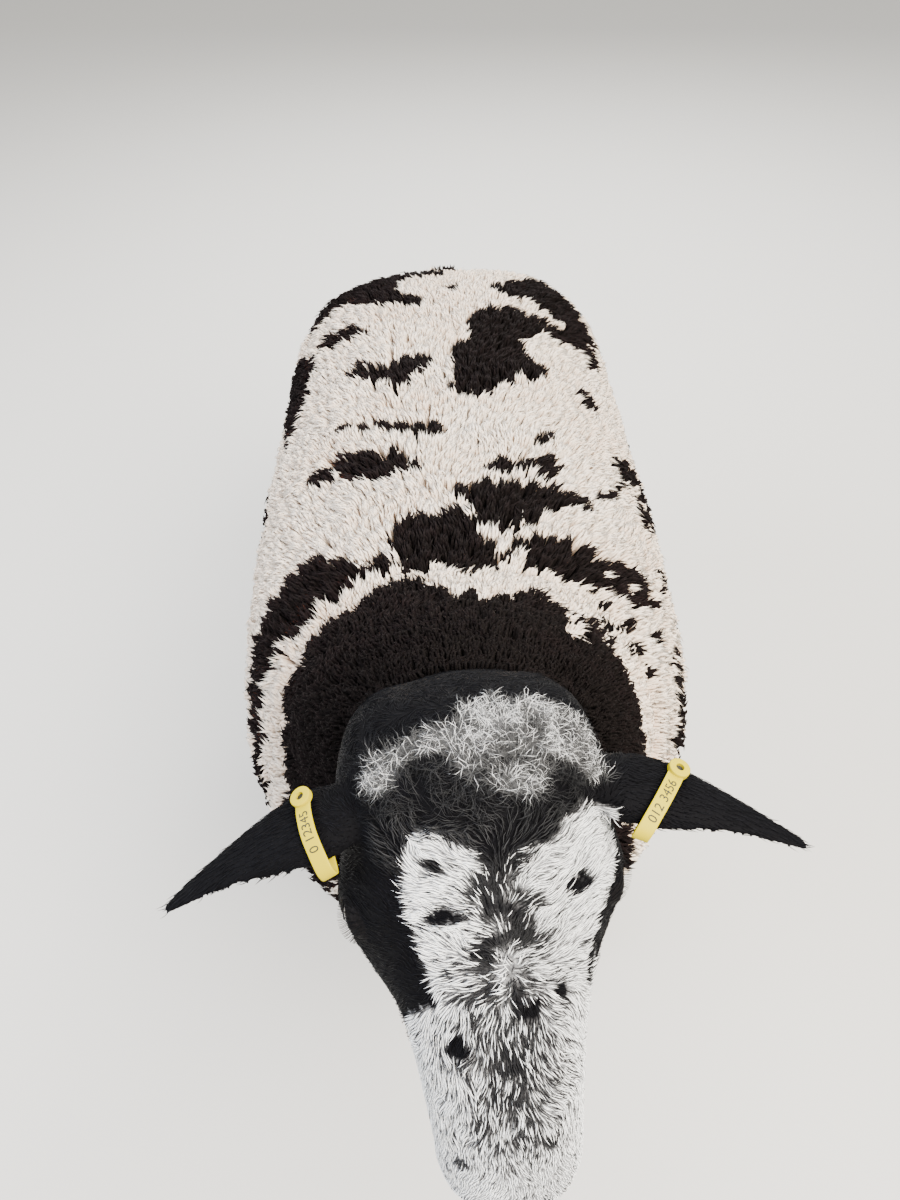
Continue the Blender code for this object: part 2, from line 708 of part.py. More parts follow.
def ear_tag(word, side, ear_thing, root, run, back, wide):
    """A one-piece loop tag: its pin goes through the ear, its strap round the front edge."""
    front = wide if wide.dot(head_axes()[0]) > 0 else -wide
    middle = root + run * TAG_ALONG[side]
    reach = front + run * TAG_SLANT[side]
    rows = blend_rows(EAR, 8)

    def ear_faces(p):
        """Height of the back and of the inside of the ear, p in front of its middle line."""
        t = (TAG_ALONG[side] + TAG_SLANT[side] * p) / EAR_LENGTH
        _, half, bow, hollow = min(rows, key=lambda row: abs(row[0] - t))
        base = EAR_SAG * math.sin(math.pi * t) - 0.6 * bow
        fill = math.sqrt(max(0.0, 1.0 - (p / half) ** 2))
        return base + bow * fill, base + hollow * fill, base, half

    base, half = ear_faces(0.0)[2:]
    rim = half + TAG_RIM
    top = ear_faces(-TAG_BACK)[0]
    low = ear_faces(-TAG_BACK)[1] - TAG_DROP
    path = [(ear_faces(p)[0] + TAG_CLEARANCE, p) for p in (-TAG_BACK, 0.0, 0.45 * half, 0.8 * half)]
    path += [(base + TAG_DROP / 2, rim), (base - TAG_DROP / 2, rim)]
    path += [(ear_faces(p)[1] - TAG_DROP, p) for p in (0.8 * half, 0.3 * half, -TAG_BACK)]
    rings = []
    fine = blend_rows(path, 2)
    for k, (q, p) in enumerate(fine):
        before, after = fine[max(0, k - 1)], fine[min(len(fine) - 1, k + 1)]
        tangent = (back * (after[0] - before[0]) + reach * (after[1] - before[1])).normalized()
        centre = middle + back * q + reach * p
        side_way = (run - tangent * run.dot(tangent)).normalized()
        thick = tangent.cross(side_way)
        ring = []
        for sx, sy in ((-1, -1), (1, -1), (1, 1), (-1, 1)):
            ring.append(centre + side_way * (sx * TAG_STRAP_WIDTH / 2)
                        + thick * (sy * TAG_STRAP_THICKNESS / 2))
        rings.append(ring)
    strap = loft("ear_tag_" + word, rings, "tag")
    turn = Matrix((run, back.cross(run), back)).transposed()
    pinned = middle - reach * TAG_BACK
    button = disc(pinned + back * (top + 0.0024), back, turn, TAG_BUTTON_RADIUS, TAG_BUTTON_HEIGHT)
    under = disc(pinned + back * (low - 0.0016), back, turn, TAG_BUTTON_RADIUS * 0.9, 0.0030)
    pin = disc(pinned + back * (low - 0.0010), back, turn, TAG_PIN_RADIUS, top - low + 0.0044)
    join(strap, [button, under, pin], solver="MANIFOLD")
    eyelet = disc(pinned + back * (top + 0.0044), back, turn, TAG_BUTTON_HOLE, 0.006)
    cut(strap, eyelet)
    passage = disc(pinned + back * (low + 0.001), back, turn, TAG_PIN_RADIUS + GAP, top - low + 0.003)
    cut(ear_thing, passage, solver="MANIFOLD")
    return strap


def disc(base, normal, turn, radius, height, sides=12):
    shape = bmesh.new()
    bmesh.ops.create_cone(shape, cap_ends=True, segments=sides, radius1=radius, radius2=radius,
                          depth=height)
    move = Matrix.Translation(base + normal * (height / 2)) @ turn.to_4x4()
    bmesh.ops.transform(shape, matrix=move, verts=shape.verts)
    mesh = bpy.data.meshes.new("disc")
    shape.to_mesh(mesh)
    shape.free()
    made = bpy.data.objects.new("disc", mesh)
    bpy.context.scene.collection.objects.link(made)
    return made


def build_body():
    """Torso, neck, legs and tail are modelled whole, woolly, and parted by thin cuts."""
    whole = torso_core()
    parts = [neck_core(), tail_core()]
    parts += [leg_core("leg_" + word, rows, side, step) for word, rows, side, step in LEG_STEPS]
    join(whole, parts)
    tidy(whole)
    rng = random.Random(SEED + 1)
    join(whole, [clump(place, normal, zone, rng) for place, normal, zone in clump_places(whole)])
    tidy(whole)
    thin = whole.modifiers.new("thin", "DECIMATE")
    thin.ratio = COAT_DETAIL
    apply_modifiers(whole)

    torso, neck = split(whole, NECK_START, NECK_WAY, "neck")
    edge = HEAD_CUT_THROAT - HEAD_CUT_TOP
    ahead = Vector((0, edge.z, -edge.y)).normalized()
    cut(neck, half_space(HEAD_CUT_TOP - ahead * (GAP / 2), ahead))
    torso, tail = split(torso, Vector((0, TAIL_CUT, 0.6)), Vector((0, 1, 0)), "tail")
    torso, legs = split(torso, Vector((0, 0, LEG_CUT)), Vector((0, 0, -1)), "legs")
    torso.name = "torso"
    nodes = [torso, neck, tail]
    for word, rows, side, step in LEG_STEPS:
        leg = copy_of(legs, "leg_" + word)
        cut(leg, half_space(Vector((0, 0, 0)), Vector((-side, 0, 0))))
        cut(leg, half_space(Vector((0, 0, 0)), Vector((0, 1 if rows is FRONT_LEG else -1, 0))))
        leg, shank = split(leg, Vector((0, 0, SHANK_CUT)), Vector((0, 0, -1)), "shank_" + word)
        nodes += [leg, shank]
    bpy.data.objects.remove(legs, do_unlink=True)
    for node in nodes:
        tidy(node)
    return nodes, ahead


def build_head(ahead):
    head = head_core()
    cut(head, half_space(HEAD_CUT_TOP + ahead * (GAP / 2), ahead), "INTERSECT")
    nodes = [head]
    for side, word in ((1, "left"), (-1, "right")):
        ear_whole, root, run, back, wide = ear(side)
        stalk = copy_of(ear_whole, "stalk")
        outward = head_axes()[1] * side
        cut(stalk, half_space(on_head(0, side * (EAR_CUT - GAP / 2), 0), outward))
        join(head, [stalk])
        ear_whole.name = "ear_" + word
        beyond = half_space(on_head(0, side * (EAR_CUT + GAP / 2), 0), outward)
        cut(ear_whole, beyond, "INTERSECT", "MANIFOLD")
        nodes.append(ear_whole)
        nodes.append(ear_tag(word, side, ear_whole, root, run, back, wide))
    nodes += finish_head(head)
    tidy(head)
    return nodes


def main():
    clear_scene()
    stand = bpy.data.objects.new("sheep", None)
    bpy.context.scene.collection.objects.link(stand)
    stand.location = ORIGIN_SHIFT
    nodes, ahead = build_body()
    nodes += build_head(ahead)
    for word, rows, side, step in LEG_STEPS:
        nodes += claws(word, rows, side, step)
    for node in nodes:
        node.parent = stand
        if not node.name.startswith("hoof"):
            node.data.shade_smooth()
            node.data.set_sharp_from_angle(angle=math.radians(40))


main()
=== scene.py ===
import math

import bmesh
import bpy
import numpy as np
from bpy.props import FloatProperty, FloatVectorProperty, PointerProperty
from mathutils import Matrix, Vector
from mathutils.kdtree import KDTree


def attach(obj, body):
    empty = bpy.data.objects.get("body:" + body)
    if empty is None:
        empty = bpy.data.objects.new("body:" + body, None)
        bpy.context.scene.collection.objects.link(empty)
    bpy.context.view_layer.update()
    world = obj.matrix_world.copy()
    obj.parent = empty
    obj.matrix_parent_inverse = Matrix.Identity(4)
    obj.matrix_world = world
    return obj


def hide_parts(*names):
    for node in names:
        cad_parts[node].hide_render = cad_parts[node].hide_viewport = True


bl_info = {
    "name": "Dutch Spotted Sheep",
    "version": (1, 0, 0),
    "blender": (4, 5, 0),
    "location": "View3D > Sidebar > Sheep",
    "description": "Dresses the packed solids of a standing spotted sheep in skin, wool and hair",
    "category": "Object",
}

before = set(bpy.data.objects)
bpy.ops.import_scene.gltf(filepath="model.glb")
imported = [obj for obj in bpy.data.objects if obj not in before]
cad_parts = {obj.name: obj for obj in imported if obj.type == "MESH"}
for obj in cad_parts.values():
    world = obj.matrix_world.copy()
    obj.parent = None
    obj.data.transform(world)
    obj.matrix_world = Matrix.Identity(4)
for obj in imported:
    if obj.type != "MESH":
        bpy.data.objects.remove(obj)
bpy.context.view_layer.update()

# The forms below are measured from the shoulders and then moved by this much, as the solids are
SHIFT = np.array((0.0, 0.1492, 0.0))

# The tips of the coat, as in the solids: y, top, bottom, half width
TORSO = [
    (0.474, 0.672, 0.520, 0.100),
    (0.452, 0.718, 0.472, 0.166),
    (0.400, 0.755, 0.430, 0.209),
    (0.310, 0.778, 0.402, 0.231),
    (0.180, 0.788, 0.388, 0.239),
    (0.000, 0.790, 0.383, 0.246),
    (-0.150, 0.795, 0.386, 0.248),
    (-0.280, 0.800, 0.394, 0.242),
    (-0.380, 0.790, 0.408, 0.230),
    (-0.460, 0.750, 0.432, 0.198),
    (-0.515, 0.690, 0.470, 0.150),
    (-0.540, 0.630, 0.515, 0.085),
]
TORSO_ENDS = ((0.482, 0.600), (-0.550, 0.570))
# Neck: top (y, z), bottom (y, z), half width, depth of the wool, lean to the left
NECK = [
    (-0.220, 0.768, -0.430, 0.470, 0.190, 0.026, 0.000),
    (-0.300, 0.798, -0.505, 0.555, 0.184, 0.026, 0.000),
    (-0.385, 0.838, -0.560, 0.650, 0.158, 0.024, 0.000),
    (-0.470, 0.895, -0.594, 0.738, 0.124, 0.018, 0.000),
    (-0.545, 0.948, -0.610, 0.802, 0.092, 0.013, 0.000),
    (-0.605, 0.992, -0.619, 0.850, 0.075, 0.008, 0.001),
    (-0.655, 1.006, -0.644, 0.900, 0.060, 0.005, 0.003),
]
# Legs: height, y, x, half depth, half width
FRONT_LEG = [
    (0.600, -0.310, 0.125, 0.090, 0.060),
    (0.470, -0.287, 0.136, 0.090, 0.066),
    (0.400, -0.277, 0.130, 0.074, 0.058),
    (0.345, -0.274, 0.122, 0.049, 0.043),
    (0.300, -0.275, 0.116, 0.033, 0.030),
    (0.258, -0.280, 0.113, 0.0275, 0.0250),
    (0.225, -0.278, 0.112, 0.0215, 0.0205),
    (0.160, -0.276, 0.111, 0.0178, 0.0168),
    (0.108, -0.276, 0.110, 0.0195, 0.0185),
    (0.086, -0.277, 0.110, 0.0230, 0.0222),
    (0.066, -0.287, 0.110, 0.0200, 0.0208),
    (0.047, -0.299, 0.110, 0.0235, 0.0260),
]
HIND_LEG = [
    (0.640, 0.280, 0.100, 0.090, 0.060),
    (0.560, 0.292, 0.128, 0.118, 0.074),
    (0.470, 0.300, 0.138, 0.122, 0.076),
    (0.400, 0.325, 0.136, 0.099, 0.066),
    (0.345, 0.360, 0.129, 0.069, 0.048),
    (0.302, 0.388, 0.122, 0.048, 0.033),
    (0.272, 0.407, 0.118, 0.0410, 0.0255),
    (0.248, 0.410, 0.116, 0.0335, 0.0245),
    (0.222, 0.409, 0.115, 0.0255, 0.0205),
    (0.160, 0.406, 0.113, 0.0195, 0.0172),
    (0.108, 0.403, 0.112, 0.0208, 0.0190),
    (0.086, 0.402, 0.112, 0.0240, 0.0224),
    (0.066, 0.391, 0.112, 0.0205, 0.0210),
    (0.047, 0.378, 0.112, 0.0235, 0.0260),
]
LEGS = (("front_left", FRONT_LEG, 1, -0.008), ("front_right", FRONT_LEG, -1, 0.012),
        ("hind_left", HIND_LEG, 1, -0.030), ("hind_right", HIND_LEG, -1, 0.006))
# Tail: y, z, half width, half depth
TAIL = [
    (0.410, 0.668, 0.034, 0.026),
    (0.450, 0.668, 0.036, 0.026),
    (0.482, 0.655, 0.037, 0.026),
    (0.500, 0.625, 0.038, 0.025),
    (0.507, 0.585, 0.037, 0.025),
    (0.508, 0.552, 0.030, 0.021),
    (0.508, 0.532, 0.016, 0.012),
]
WOOL_DEPTH = 0.026
LEG_WOOL_DEPTH = 0.011
LEG_WOOL_END = 0.285
THIN_WOOL_DEPTH = 0.012
FETLOCK_HEIGHT = 0.086
DEWCLAW_HEIGHT = 0.080
# A foot's top and the tops of its claws fall this much for each metre towards the heel
FOOT_SLOPE = 0.38
TORSO_HALF_LENGTH = 0.5
# The round measure of the markings is an angle times one of these radii
BODY_RADIUS = 0.24
HEAD_RADIUS = 0.07
# Below the top line of the face, the line that its markings run round
HEAD_CORE = 0.065
# No part of the head, and none of the nape, is lower than this
HEAD_FLOOR = 0.70
# No part of the neck whose wool thins is lower than this
NECK_FLOOR = 0.60
WOOL_EDGE_TOP = np.array((0.0, -0.560, 0.955))
WOOL_EDGE_THROAT = np.array((0.0, -0.600, 0.800))
WOOL_AHEAD = np.array((0.0, WOOL_EDGE_THROAT[2] - WOOL_EDGE_TOP[2],
                       WOOL_EDGE_TOP[1] - WOOL_EDGE_THROAT[1]))
WOOL_AHEAD /= np.linalg.norm(WOOL_AHEAD)
WOOL_EDGE_BACK = 0.032

# Head: the poll, and the face's own directions
POLL = np.array((-0.003, -0.6805, 1.0313))
HEAD_YAW = math.radians(5.6)
HEAD_PITCH = math.radians(50)
HEAD_LENGTH = 0.2886
ALONG = np.array((math.sin(HEAD_YAW) * math.cos(HEAD_PITCH),
                  -math.cos(HEAD_YAW) * math.cos(HEAD_PITCH), -math.sin(HEAD_PITCH)))
OUT = np.array((math.cos(HEAD_YAW), math.sin(HEAD_YAW), 0.0))
UP = -np.cross(OUT, ALONG)
# Distance from the poll, half width, top, bottom, all along the face
HEAD = [
    (-0.014, 0.050, -0.024, -0.104),
    (0.000, 0.066, -0.004, -0.126),
    (0.028, 0.0765, 0.009, -0.142),
    (0.062, 0.0785, 0.012, -0.147),
    (0.096, 0.0755, 0.008, -0.143),
    (0.126, 0.0690, 0.003, -0.131),
    (0.155, 0.0595, 0.003, -0.114),
    (0.184, 0.0510, 0.003, -0.099),
    (0.213, 0.0460, 0.001, -0.089),
    (0.242, 0.0430, -0.003, -0.084),
    (0.262, 0.0412, -0.009, -0.083),
    (0.274, 0.0375, -0.016, -0.081),
    (0.282, 0.0310, -0.025, -0.076),
    (0.2865, 0.0205, -0.036, -0.067),
]
HEAD_ENDS = ((-0.022, -0.065), (HEAD_LENGTH, -0.051))

EYE_RADIUS = 0.0132
IRIS_RADIUS = 0.0112
EYE_PLACE = (0.101, 0.0668, -0.036)
MOUTH_DOWN = -0.0590
NOSTRIL_PLACE = (0.2755, 0.0210, -0.0315)

EAR_ROOT = (0.034, 0.060, -0.027)
EAR_LENGTH = 0.135
EAR_FORWARD = math.radians(25)
EAR_DROOP = {1: math.radians(-4.6), -1: math.radians(8.0)}
EAR_LEAN = math.radians(55)
EAR_SAG = 0.008
# Fraction of the length, half width, bow of the back, bow of the inside
EAR = [
    (0.00, 0.0150, 0.0140, -0.0100),
    (0.12, 0.0205, 0.0150, -0.0065),
    (0.20, 0.0240, 0.0150, 0.0050),
    (0.31, 0.0245, 0.0135, 0.0094),
    (0.44, 0.0210, 0.0110, 0.0076),
    (0.58, 0.0160, 0.0082, 0.0054),
    (0.74, 0.0112, 0.0057, 0.0032),
    (0.88, 0.0077, 0.0037, 0.0013),
    (0.96, 0.0056, 0.0026, 0.0004),
    (0.99, 0.0032, 0.0016, 0.0001),
]

TAG_ALONG = {1: 0.0475, -1: 0.0315}
TAG_SLANT = {1: -0.32, -1: 0.05}
TAG_BACK = 0.010
TAG_BUTTON_RADIUS = 0.0062
TAG_BUTTON_HOLE = 0.0024
TAG_STRAP_WIDTH = 0.0092
TAG_STRAP_THICKNESS = 0.0015
TAG_CLEARANCE = 0.0030
TAG_RIM = 0.0058
TAG_DROP = 0.0066
DIGIT_SIZE = 0.0074
DIGIT_RELIEF = 0.00009
DIGITS_START = 0.0105

CLAW_TOE = 0.040
CLAW_HEEL = 0.026
CLAW_HALF_WIDTH = 0.0262
CLEFT_HALF_WIDTH = 0.0018

# A piece of the coat has fewer triangles than this
PIECE_TRIANGLES = 200000

# Camera: as far from the animal and as steep as the photograph has it
CAMERA_PLACE = np.array((-0.012, -1.0, 1.45))
CAMERA_PITCH = math.radians(45)
CAMERA_ROLL = math.radians(-2.4)
CAMERA_LENS = 30.0
CAMERA_SENSOR = 36.0


def add_object(name, data):
    """Put a mesh, lamp or camera in the scene."""
    thing = bpy.data.objects.new(name, data)
    bpy.context.scene.collection.objects.link(thing)
    return thing


def deselect():
    """Leave edit mode and select nothing."""
    if bpy.context.object and bpy.context.object.mode != "OBJECT":
        bpy.ops.object.mode_set(mode="OBJECT")
    bpy.ops.object.select_all(action="DESELECT")


def activate(thing):
    """Make a thing the only selected one, and the active one."""
    deselect()
    thing.select_set(True)
    bpy.context.view_layer.objects.active = thing


def blend_rows(rows, steps):
    """Read a smooth curve through the rows, with the given number of steps between them."""
    rows = np.array(rows, float)
    last = len(rows) - 1
    result = []
    for k in range(last):
        p0, p1, p2, p3 = (rows[max(0, min(last, k + d))] for d in (-1, 0, 1, 2))
        for s in range(steps):
            t = s / steps
            result.append(0.5 * (2 * p1 + (p2 - p0) * t + (2 * p0 - 5 * p1 + 4 * p2 - p3) * t * t
                                 + (3 * p1 - p0 - 3 * p2 + p3) * t ** 3))
    result.append(rows[-1])
    return np.array(result)


def ring_angles(count):
    """Even angles round a ring, starting half a step on."""
    return 2 * np.pi * (np.arange(count) + 0.5) / count


def squared(count, squareness):
    """Cosine and sine of a rounded square: 2 gives a circle, more a squarer ring."""
    angles, power = ring_angles(count), 2.0 / squareness
    c, s = np.cos(angles), np.sin(angles)
    return np.copysign(np.abs(c) ** power, c), np.copysign(np.abs(s) ** power, s)


def unit(vector):
    """The same direction at length 1."""
    return vector / np.linalg.norm(vector)


def unit_rows(rows):
    """The same directions at length 1, one in each row."""
    return rows / np.linalg.norm(rows, axis=1)[:, None]


def mesh_from(name, points, faces):
    """A mesh object with outward faces, from points still measured from the shoulders."""
    mesh = bpy.data.meshes.new(name)
    mesh.from_pydata([tuple(p) for p in np.asarray(points) + SHIFT], [], faces)
    shape = bmesh.new()
    shape.from_mesh(mesh)
    bmesh.ops.recalc_face_normals(shape, faces=shape.faces)
    if shape.calc_volume(signed=True) < 0:
        bmesh.ops.reverse_faces(shape, faces=shape.faces)
    shape.to_mesh(mesh)
    shape.free()
    return add_object(name, mesh)


def loft(name, rings, tips=(None, None)):
    """Join rings of equal count, each end closed by a flat cap or drawn to a tip."""
    rings = np.asarray(rings, float)
    count = rings.shape[1]
    points = list(rings.reshape(-1, 3))
    faces = []
    for r in range(len(rings) - 1):
        for i in range(count):
            j = (i + 1) % count
            a, b = r * count, (r + 1) * count
            faces.append((a + i, a + j, b + j, b + i))
    for end, tip in enumerate(tips):
        first = 0 if end == 0 else (len(rings) - 1) * count
        rim = [first + i for i in range(count)]
        if tip is None:
            faces.append(rim)
            continue
        points.append(np.asarray(tip, float))
        faces.extend((rim[i], rim[(i + 1) % count], len(points) - 1) for i in range(count))
    return mesh_from(name, points, faces)


def finish_with(thing, kind, **settings):
    """Add a modifier with its settings, and apply it."""
    activate(thing)
    change = thing.modifiers.new(kind.lower(), kind)
    for key, value in settings.items():
        setattr(change, key, value)
    bpy.ops.object.modifier_apply(modifier=change.name)
    return thing


def combine(base, other, operation="UNION"):
    """Join another closed shape to the base, or cut it out of it."""
    finish_with(base, "BOOLEAN", operation=operation, object=other, solver="MANIFOLD")
    bpy.data.objects.remove(other, do_unlink=True)
    return base


def ball(name, centre, size, segments=24, rings=16, axes=None):
    """A closed egg at a place, turned so that its own x, y and z lie along the given axes."""
    deselect()
    bpy.ops.mesh.primitive_uv_sphere_add(segments=segments, ring_count=rings, radius=1.0)
    thing = bpy.context.object
    thing.name = name
    turn = Matrix(np.array(axes).T.tolist()).to_4x4() if axes is not None else Matrix()
    size = Matrix.Diagonal((*size, 1.0))
    thing.data.transform(Matrix.Translation(Vector(np.asarray(centre) + SHIFT)) @ turn @ size)
    return thing


def on_head(along, out, up):
    """The place this far down the face, out to the left and up from its top line."""
    return POLL + ALONG * along + OUT * out + UP * up


def head_coordinates(points):
    """Distance along the face, out to the left and up from the top line, for many points."""
    off = points - POLL
    return off @ ALONG, off @ OUT, off @ UP


def smooth_step(low, high, values):
    """From 0 at the low value to 1 at the high one, which may be the smaller."""
    t = np.clip((values - low) / (high - low), 0.0, 1.0)
    return t * t * (3 - 2 * t)


def lattice(cells, seed):
    """A repeatable random value for each cell of an endless grid."""
    cells = cells.astype(np.uint64)
    mixed = (cells[..., 0] * np.uint64(73856093) ^ cells[..., 1] * np.uint64(19349663)
             ^ cells[..., 2] * np.uint64(83492791) ^ np.uint64(seed * 2654435761 % 2 ** 32))
    mixed = (mixed ^ (mixed >> np.uint64(13))) * np.uint64(1274126177)
    mixed = (mixed ^ (mixed >> np.uint64(16))) * np.uint64(2246822519)
    mixed = mixed ^ (mixed >> np.uint64(15))
    return (mixed & np.uint64(0xFFFFFF)).astype(float) / float(0xFFFFFF)


def cloud(points, size, seed):
    """Soft noise from -1 to 1, whose lumps are about the given size across."""
    scaled = np.asarray(points, float) / size + 4096.0
    base = np.floor(scaled)
    part = scaled - base
    part = part * part * (3 - 2 * part)
    total = np.zeros(len(scaled))
    for corner in range(8):
        step = np.array((corner & 1, corner >> 1 & 1, corner >> 2 & 1), float)
        share = np.prod(np.where(step > 0, part, 1 - part), axis=1)
        total += share * lattice(base + step, seed)
    return total * 2 - 1


def axis_height(y):
    """Height of the line that the markings and the coat run round, raised in the neck."""
    return 0.60 + 0.28 * smooth_step(0.25, 0.60, -np.asarray(y, float))


def torso_form(depth):
    """The trunk under wool of this depth, squarer in section towards the rump."""
    rings, drawn_in = [], 1 - depth / TORSO_HALF_LENGTH
    for y, top, bottom, half in blend_rows(TORSO, 4):
        squareness = 2.4 + 0.5 * float(np.clip((y - 0.10) / 0.26, 0, 1))
        u, v = squared(48, squareness)
        tall, wide = (top - bottom) / 2 - depth, half - depth
        height = (top + bottom) / 2 + v * tall
        rings.append(np.stack((u * wide, np.full(len(u), y * drawn_in), height), 1))
    return loft("torso_form", rings, [(0, y * drawn_in, z) for y, z in TORSO_ENDS])


def neck_form():
    """The neck under its wool, in rings that each stand square to it."""
    rings = []
    for ty, tz, by, bz, half, depth, lean in blend_rows(NECK, 5):
        top, bottom = np.array((lean, ty, tz)), np.array((lean, by, bz))
        middle, tall = (top + bottom) / 2, np.linalg.norm(top - bottom) / 2
        upright = (top - bottom) / (2 * tall)
        u, v = squared(44, 2.2)
        rings.append(middle + np.outer(u * (half - depth), (1, 0, 0))
                     + np.outer(v * (tall - depth), upright))
    return loft("neck_form", rings)


def leg_form(name, rows, side, step):
    """A leg without its wool, from the body to the top of the hoof, with its two dewclaws."""
    rings = []
    for z, y, x, deep, wide in blend_rows(rows, 4):
        depth = LEG_WOOL_DEPTH * float(np.clip((z - LEG_WOOL_END) / 0.03, 0, 1))
        moved = step * float(np.clip((rows[0][0] - z) / 0.3, 0, 1))
        u, v = squared(32, 2.1)
        rings.append(np.stack((side * x + u * (wide - depth), y + moved + v * (deep - depth),
                               np.full(len(u), z)), 1))
    foot = rings[-1]
    foot[:, 2] -= FOOT_SLOPE * (foot[:, 1] - foot[:, 1].mean())
    leg = loft(name, rings)
    _, y, x, deep, _ = next(row for row in rows if row[0] == FETLOCK_HEIGHT)
    for out in (-1, 1):
        place = (side * x + out * 0.011, y + step + deep - 0.001, DEWCLAW_HEIGHT)
        combine(leg, ball("dewclaw", place, (0.0075, 0.0075, 0.011), 16, 10))
    return leg


def tail_form():
    """The tail with its wool, drawn to a point below."""
    rows = blend_rows(TAIL, 4)
    rings = []
    for k, (y, z, wide, deep) in enumerate(rows):
        before, after = rows[max(0, k - 1)], rows[min(len(rows) - 1, k + 1)]
        along = unit(np.array((0, after[0] - before[0], after[1] - before[1])))
        across = np.array((0, -along[2], along[1]))
        u, v = squared(24, 2.0)
        rings.append(np.array((0, y, z)) + np.outer(u * wide, (1, 0, 0))
                     + np.outer(v * deep, across))
    return loft("tail_form", rings, (None, (0, TAIL[-1][0], TAIL[-1][1] - 0.010)))


def head_form():
    """The head as even rings from poll to nose, narrower at the jaw, swollen at the eyes."""
    rings = []
    for s, half, top, bottom in blend_rows(HEAD, 5):
        middle, tall = (top + bottom) / 2, (top - bottom) / 2
        jaw = 0.30 * float(np.clip(1.0 - abs(s - 0.14) / 0.16, 0, 1))
        p, q = squared(60, 2.25)
        narrow = 1.0 - jaw * np.maximum(0.0, -q) ** 1.5
        rise = middle + q * tall
        off = ((s - EYE_PLACE[0]) / 0.030) ** 2 + ((rise - EYE_PLACE[2]) / 0.024) ** 2
        swell = 0.0105 * np.exp(-off) * np.sign(p)
        rings.append(POLL + ALONG * s + np.outer(p * half * narrow + swell, OUT) + np.outer(rise, UP))
    return loft("head_form", rings, [on_head(s, 0, rise) for s, rise in HEAD_ENDS])


def ear_axes(side):
    """Root of an ear, and its directions: out to the tip, to its back and across it."""
    root = on_head(EAR_ROOT[0], side * EAR_ROOT[1], EAR_ROOT[2])
    level = OUT * side * math.cos(EAR_FORWARD) + ALONG * math.sin(EAR_FORWARD)
    run = unit(level * math.cos(EAR_DROOP[side]) - UP * math.sin(EAR_DROOP[side]))
    back = UP * math.cos(EAR_LEAN) - ALONG * math.sin(EAR_LEAN)
    back = unit(back - run * (back @ run))
    return root, run, back, np.cross(run, back)


def ear_form(name, side):
    """An ear, rounded behind and hollow in front, that sags a little on its way to the tip."""
    root, run, back, wide = ear_axes(side)
    outer = np.pi * (np.arange(15) / 14 - 0.5)
    inner = np.pi * (np.arange(13, 0, -1) / 14 - 0.5)
    rings = []
    for t, half, bow, hollow in blend_rows(EAR, 6):
        sag = EAR_SAG * math.sin(math.pi * t) - 0.6 * bow
        middle = root + run * (t * EAR_LENGTH) + back * sag
        ring = [middle + wide * (half * math.sin(f)) + back * (bow * math.cos(f)) for f in outer]
        ring += [middle + wide * (half * 0.93 * math.sin(f)) + back * (hollow * math.cos(f))
                 for f in inner]
        rings.append(ring)
    return loft(name, rings, (None, root + run * EAR_LENGTH))


def eye_axes(side):
    """Centre of the eye, and its directions: level, upright and outward."""
    centre = on_head(EYE_PLACE[0], side * EYE_PLACE[1], EYE_PLACE[2])
    outward = unit(OUT * side * 0.93 + ALONG * 0.25 + UP * 0.20)
    level = unit(ALONG - outward * (ALONG @ outward))
    return centre, level, np.cross(outward, level), outward


# Bones, muscles and folds that the even rings leave out, in millimetres: along, out, up on the
# head, then the reach along, out and up, then how far the skin rises there. Each is repeated on
# the other side.
FACE_FORMS = (
    ("brow", 88, 56, -10, 20, 13, 12, 4),
    ("temple_hollow", 58, 74, -45, 18, 18, 20, -3),
    ("cheekbone", 128, 64, -52, 34, 16, 9, 3.5),
    ("cheek", 85, 70, -100, 34, 20, 26, 3.5),
    ("tear_groove", 122, 58, -30, 10, 12, 7, -3),
    ("face_hollow", 178, 50, -50, 30, 14, 14, -3.5),
    ("nose_bone_edge", 190, 26, 1, 45, 10, 8, 2),
    ("upper_lip", 262, 36, -52, 18, 12, 7, 2.5),
    ("lower_lip", 262, 26, -70, 14, 14, 7, 1.5),
    ("nostril_wing", 272, 21, -20, 10, 10, 6, 3),
)


def shape_face(points):
    """Move the head's surface by the named forms, out from the head's own middle line."""
    s, o, u = head_coordinates(points)
    middle = np.interp(s, [row[0] for row in HEAD], [(row[2] + row[3]) / 2 for row in HEAD])
    away = np.outer(o, OUT) + np.outer(u - middle, UP)
    away /= np.maximum(np.linalg.norm(away, axis=1), 1e-6)[:, None]
    rise = np.zeros(len(points))
    for _, *sizes_mm in FACE_FORMS:
        fs, fo, fu, rs, ro, ru, height = (size / 1000 for size in sizes_mm)
        rise += height * np.exp(-((s - fs) / rs) ** 2 - ((np.abs(o) - fo) / ro) ** 2
                                - ((u - fu) / ru) ** 2)
    cleft = np.exp(-(o / 0.0022) ** 2) * smooth_step(0.268, 0.280, s) * smooth_step(-0.064, -0.045, u)
    rise -= 0.0022 * cleft * smooth_step(-0.010, -0.030, u)
    return points + away * rise[:, None]


def mesh_points(thing):
    """The vertices of a thing, measured from the shoulders."""
    flat = np.empty(len(thing.data.vertices) * 3)
    thing.data.vertices.foreach_get("co", flat)
    return flat.reshape(-1, 3) - SHIFT


def set_mesh_points(thing, points):
    """Move the vertices of a thing to points measured from the shoulders."""
    thing.data.vertices.foreach_set("co", (points + SHIFT).ravel())
    thing.data.update()


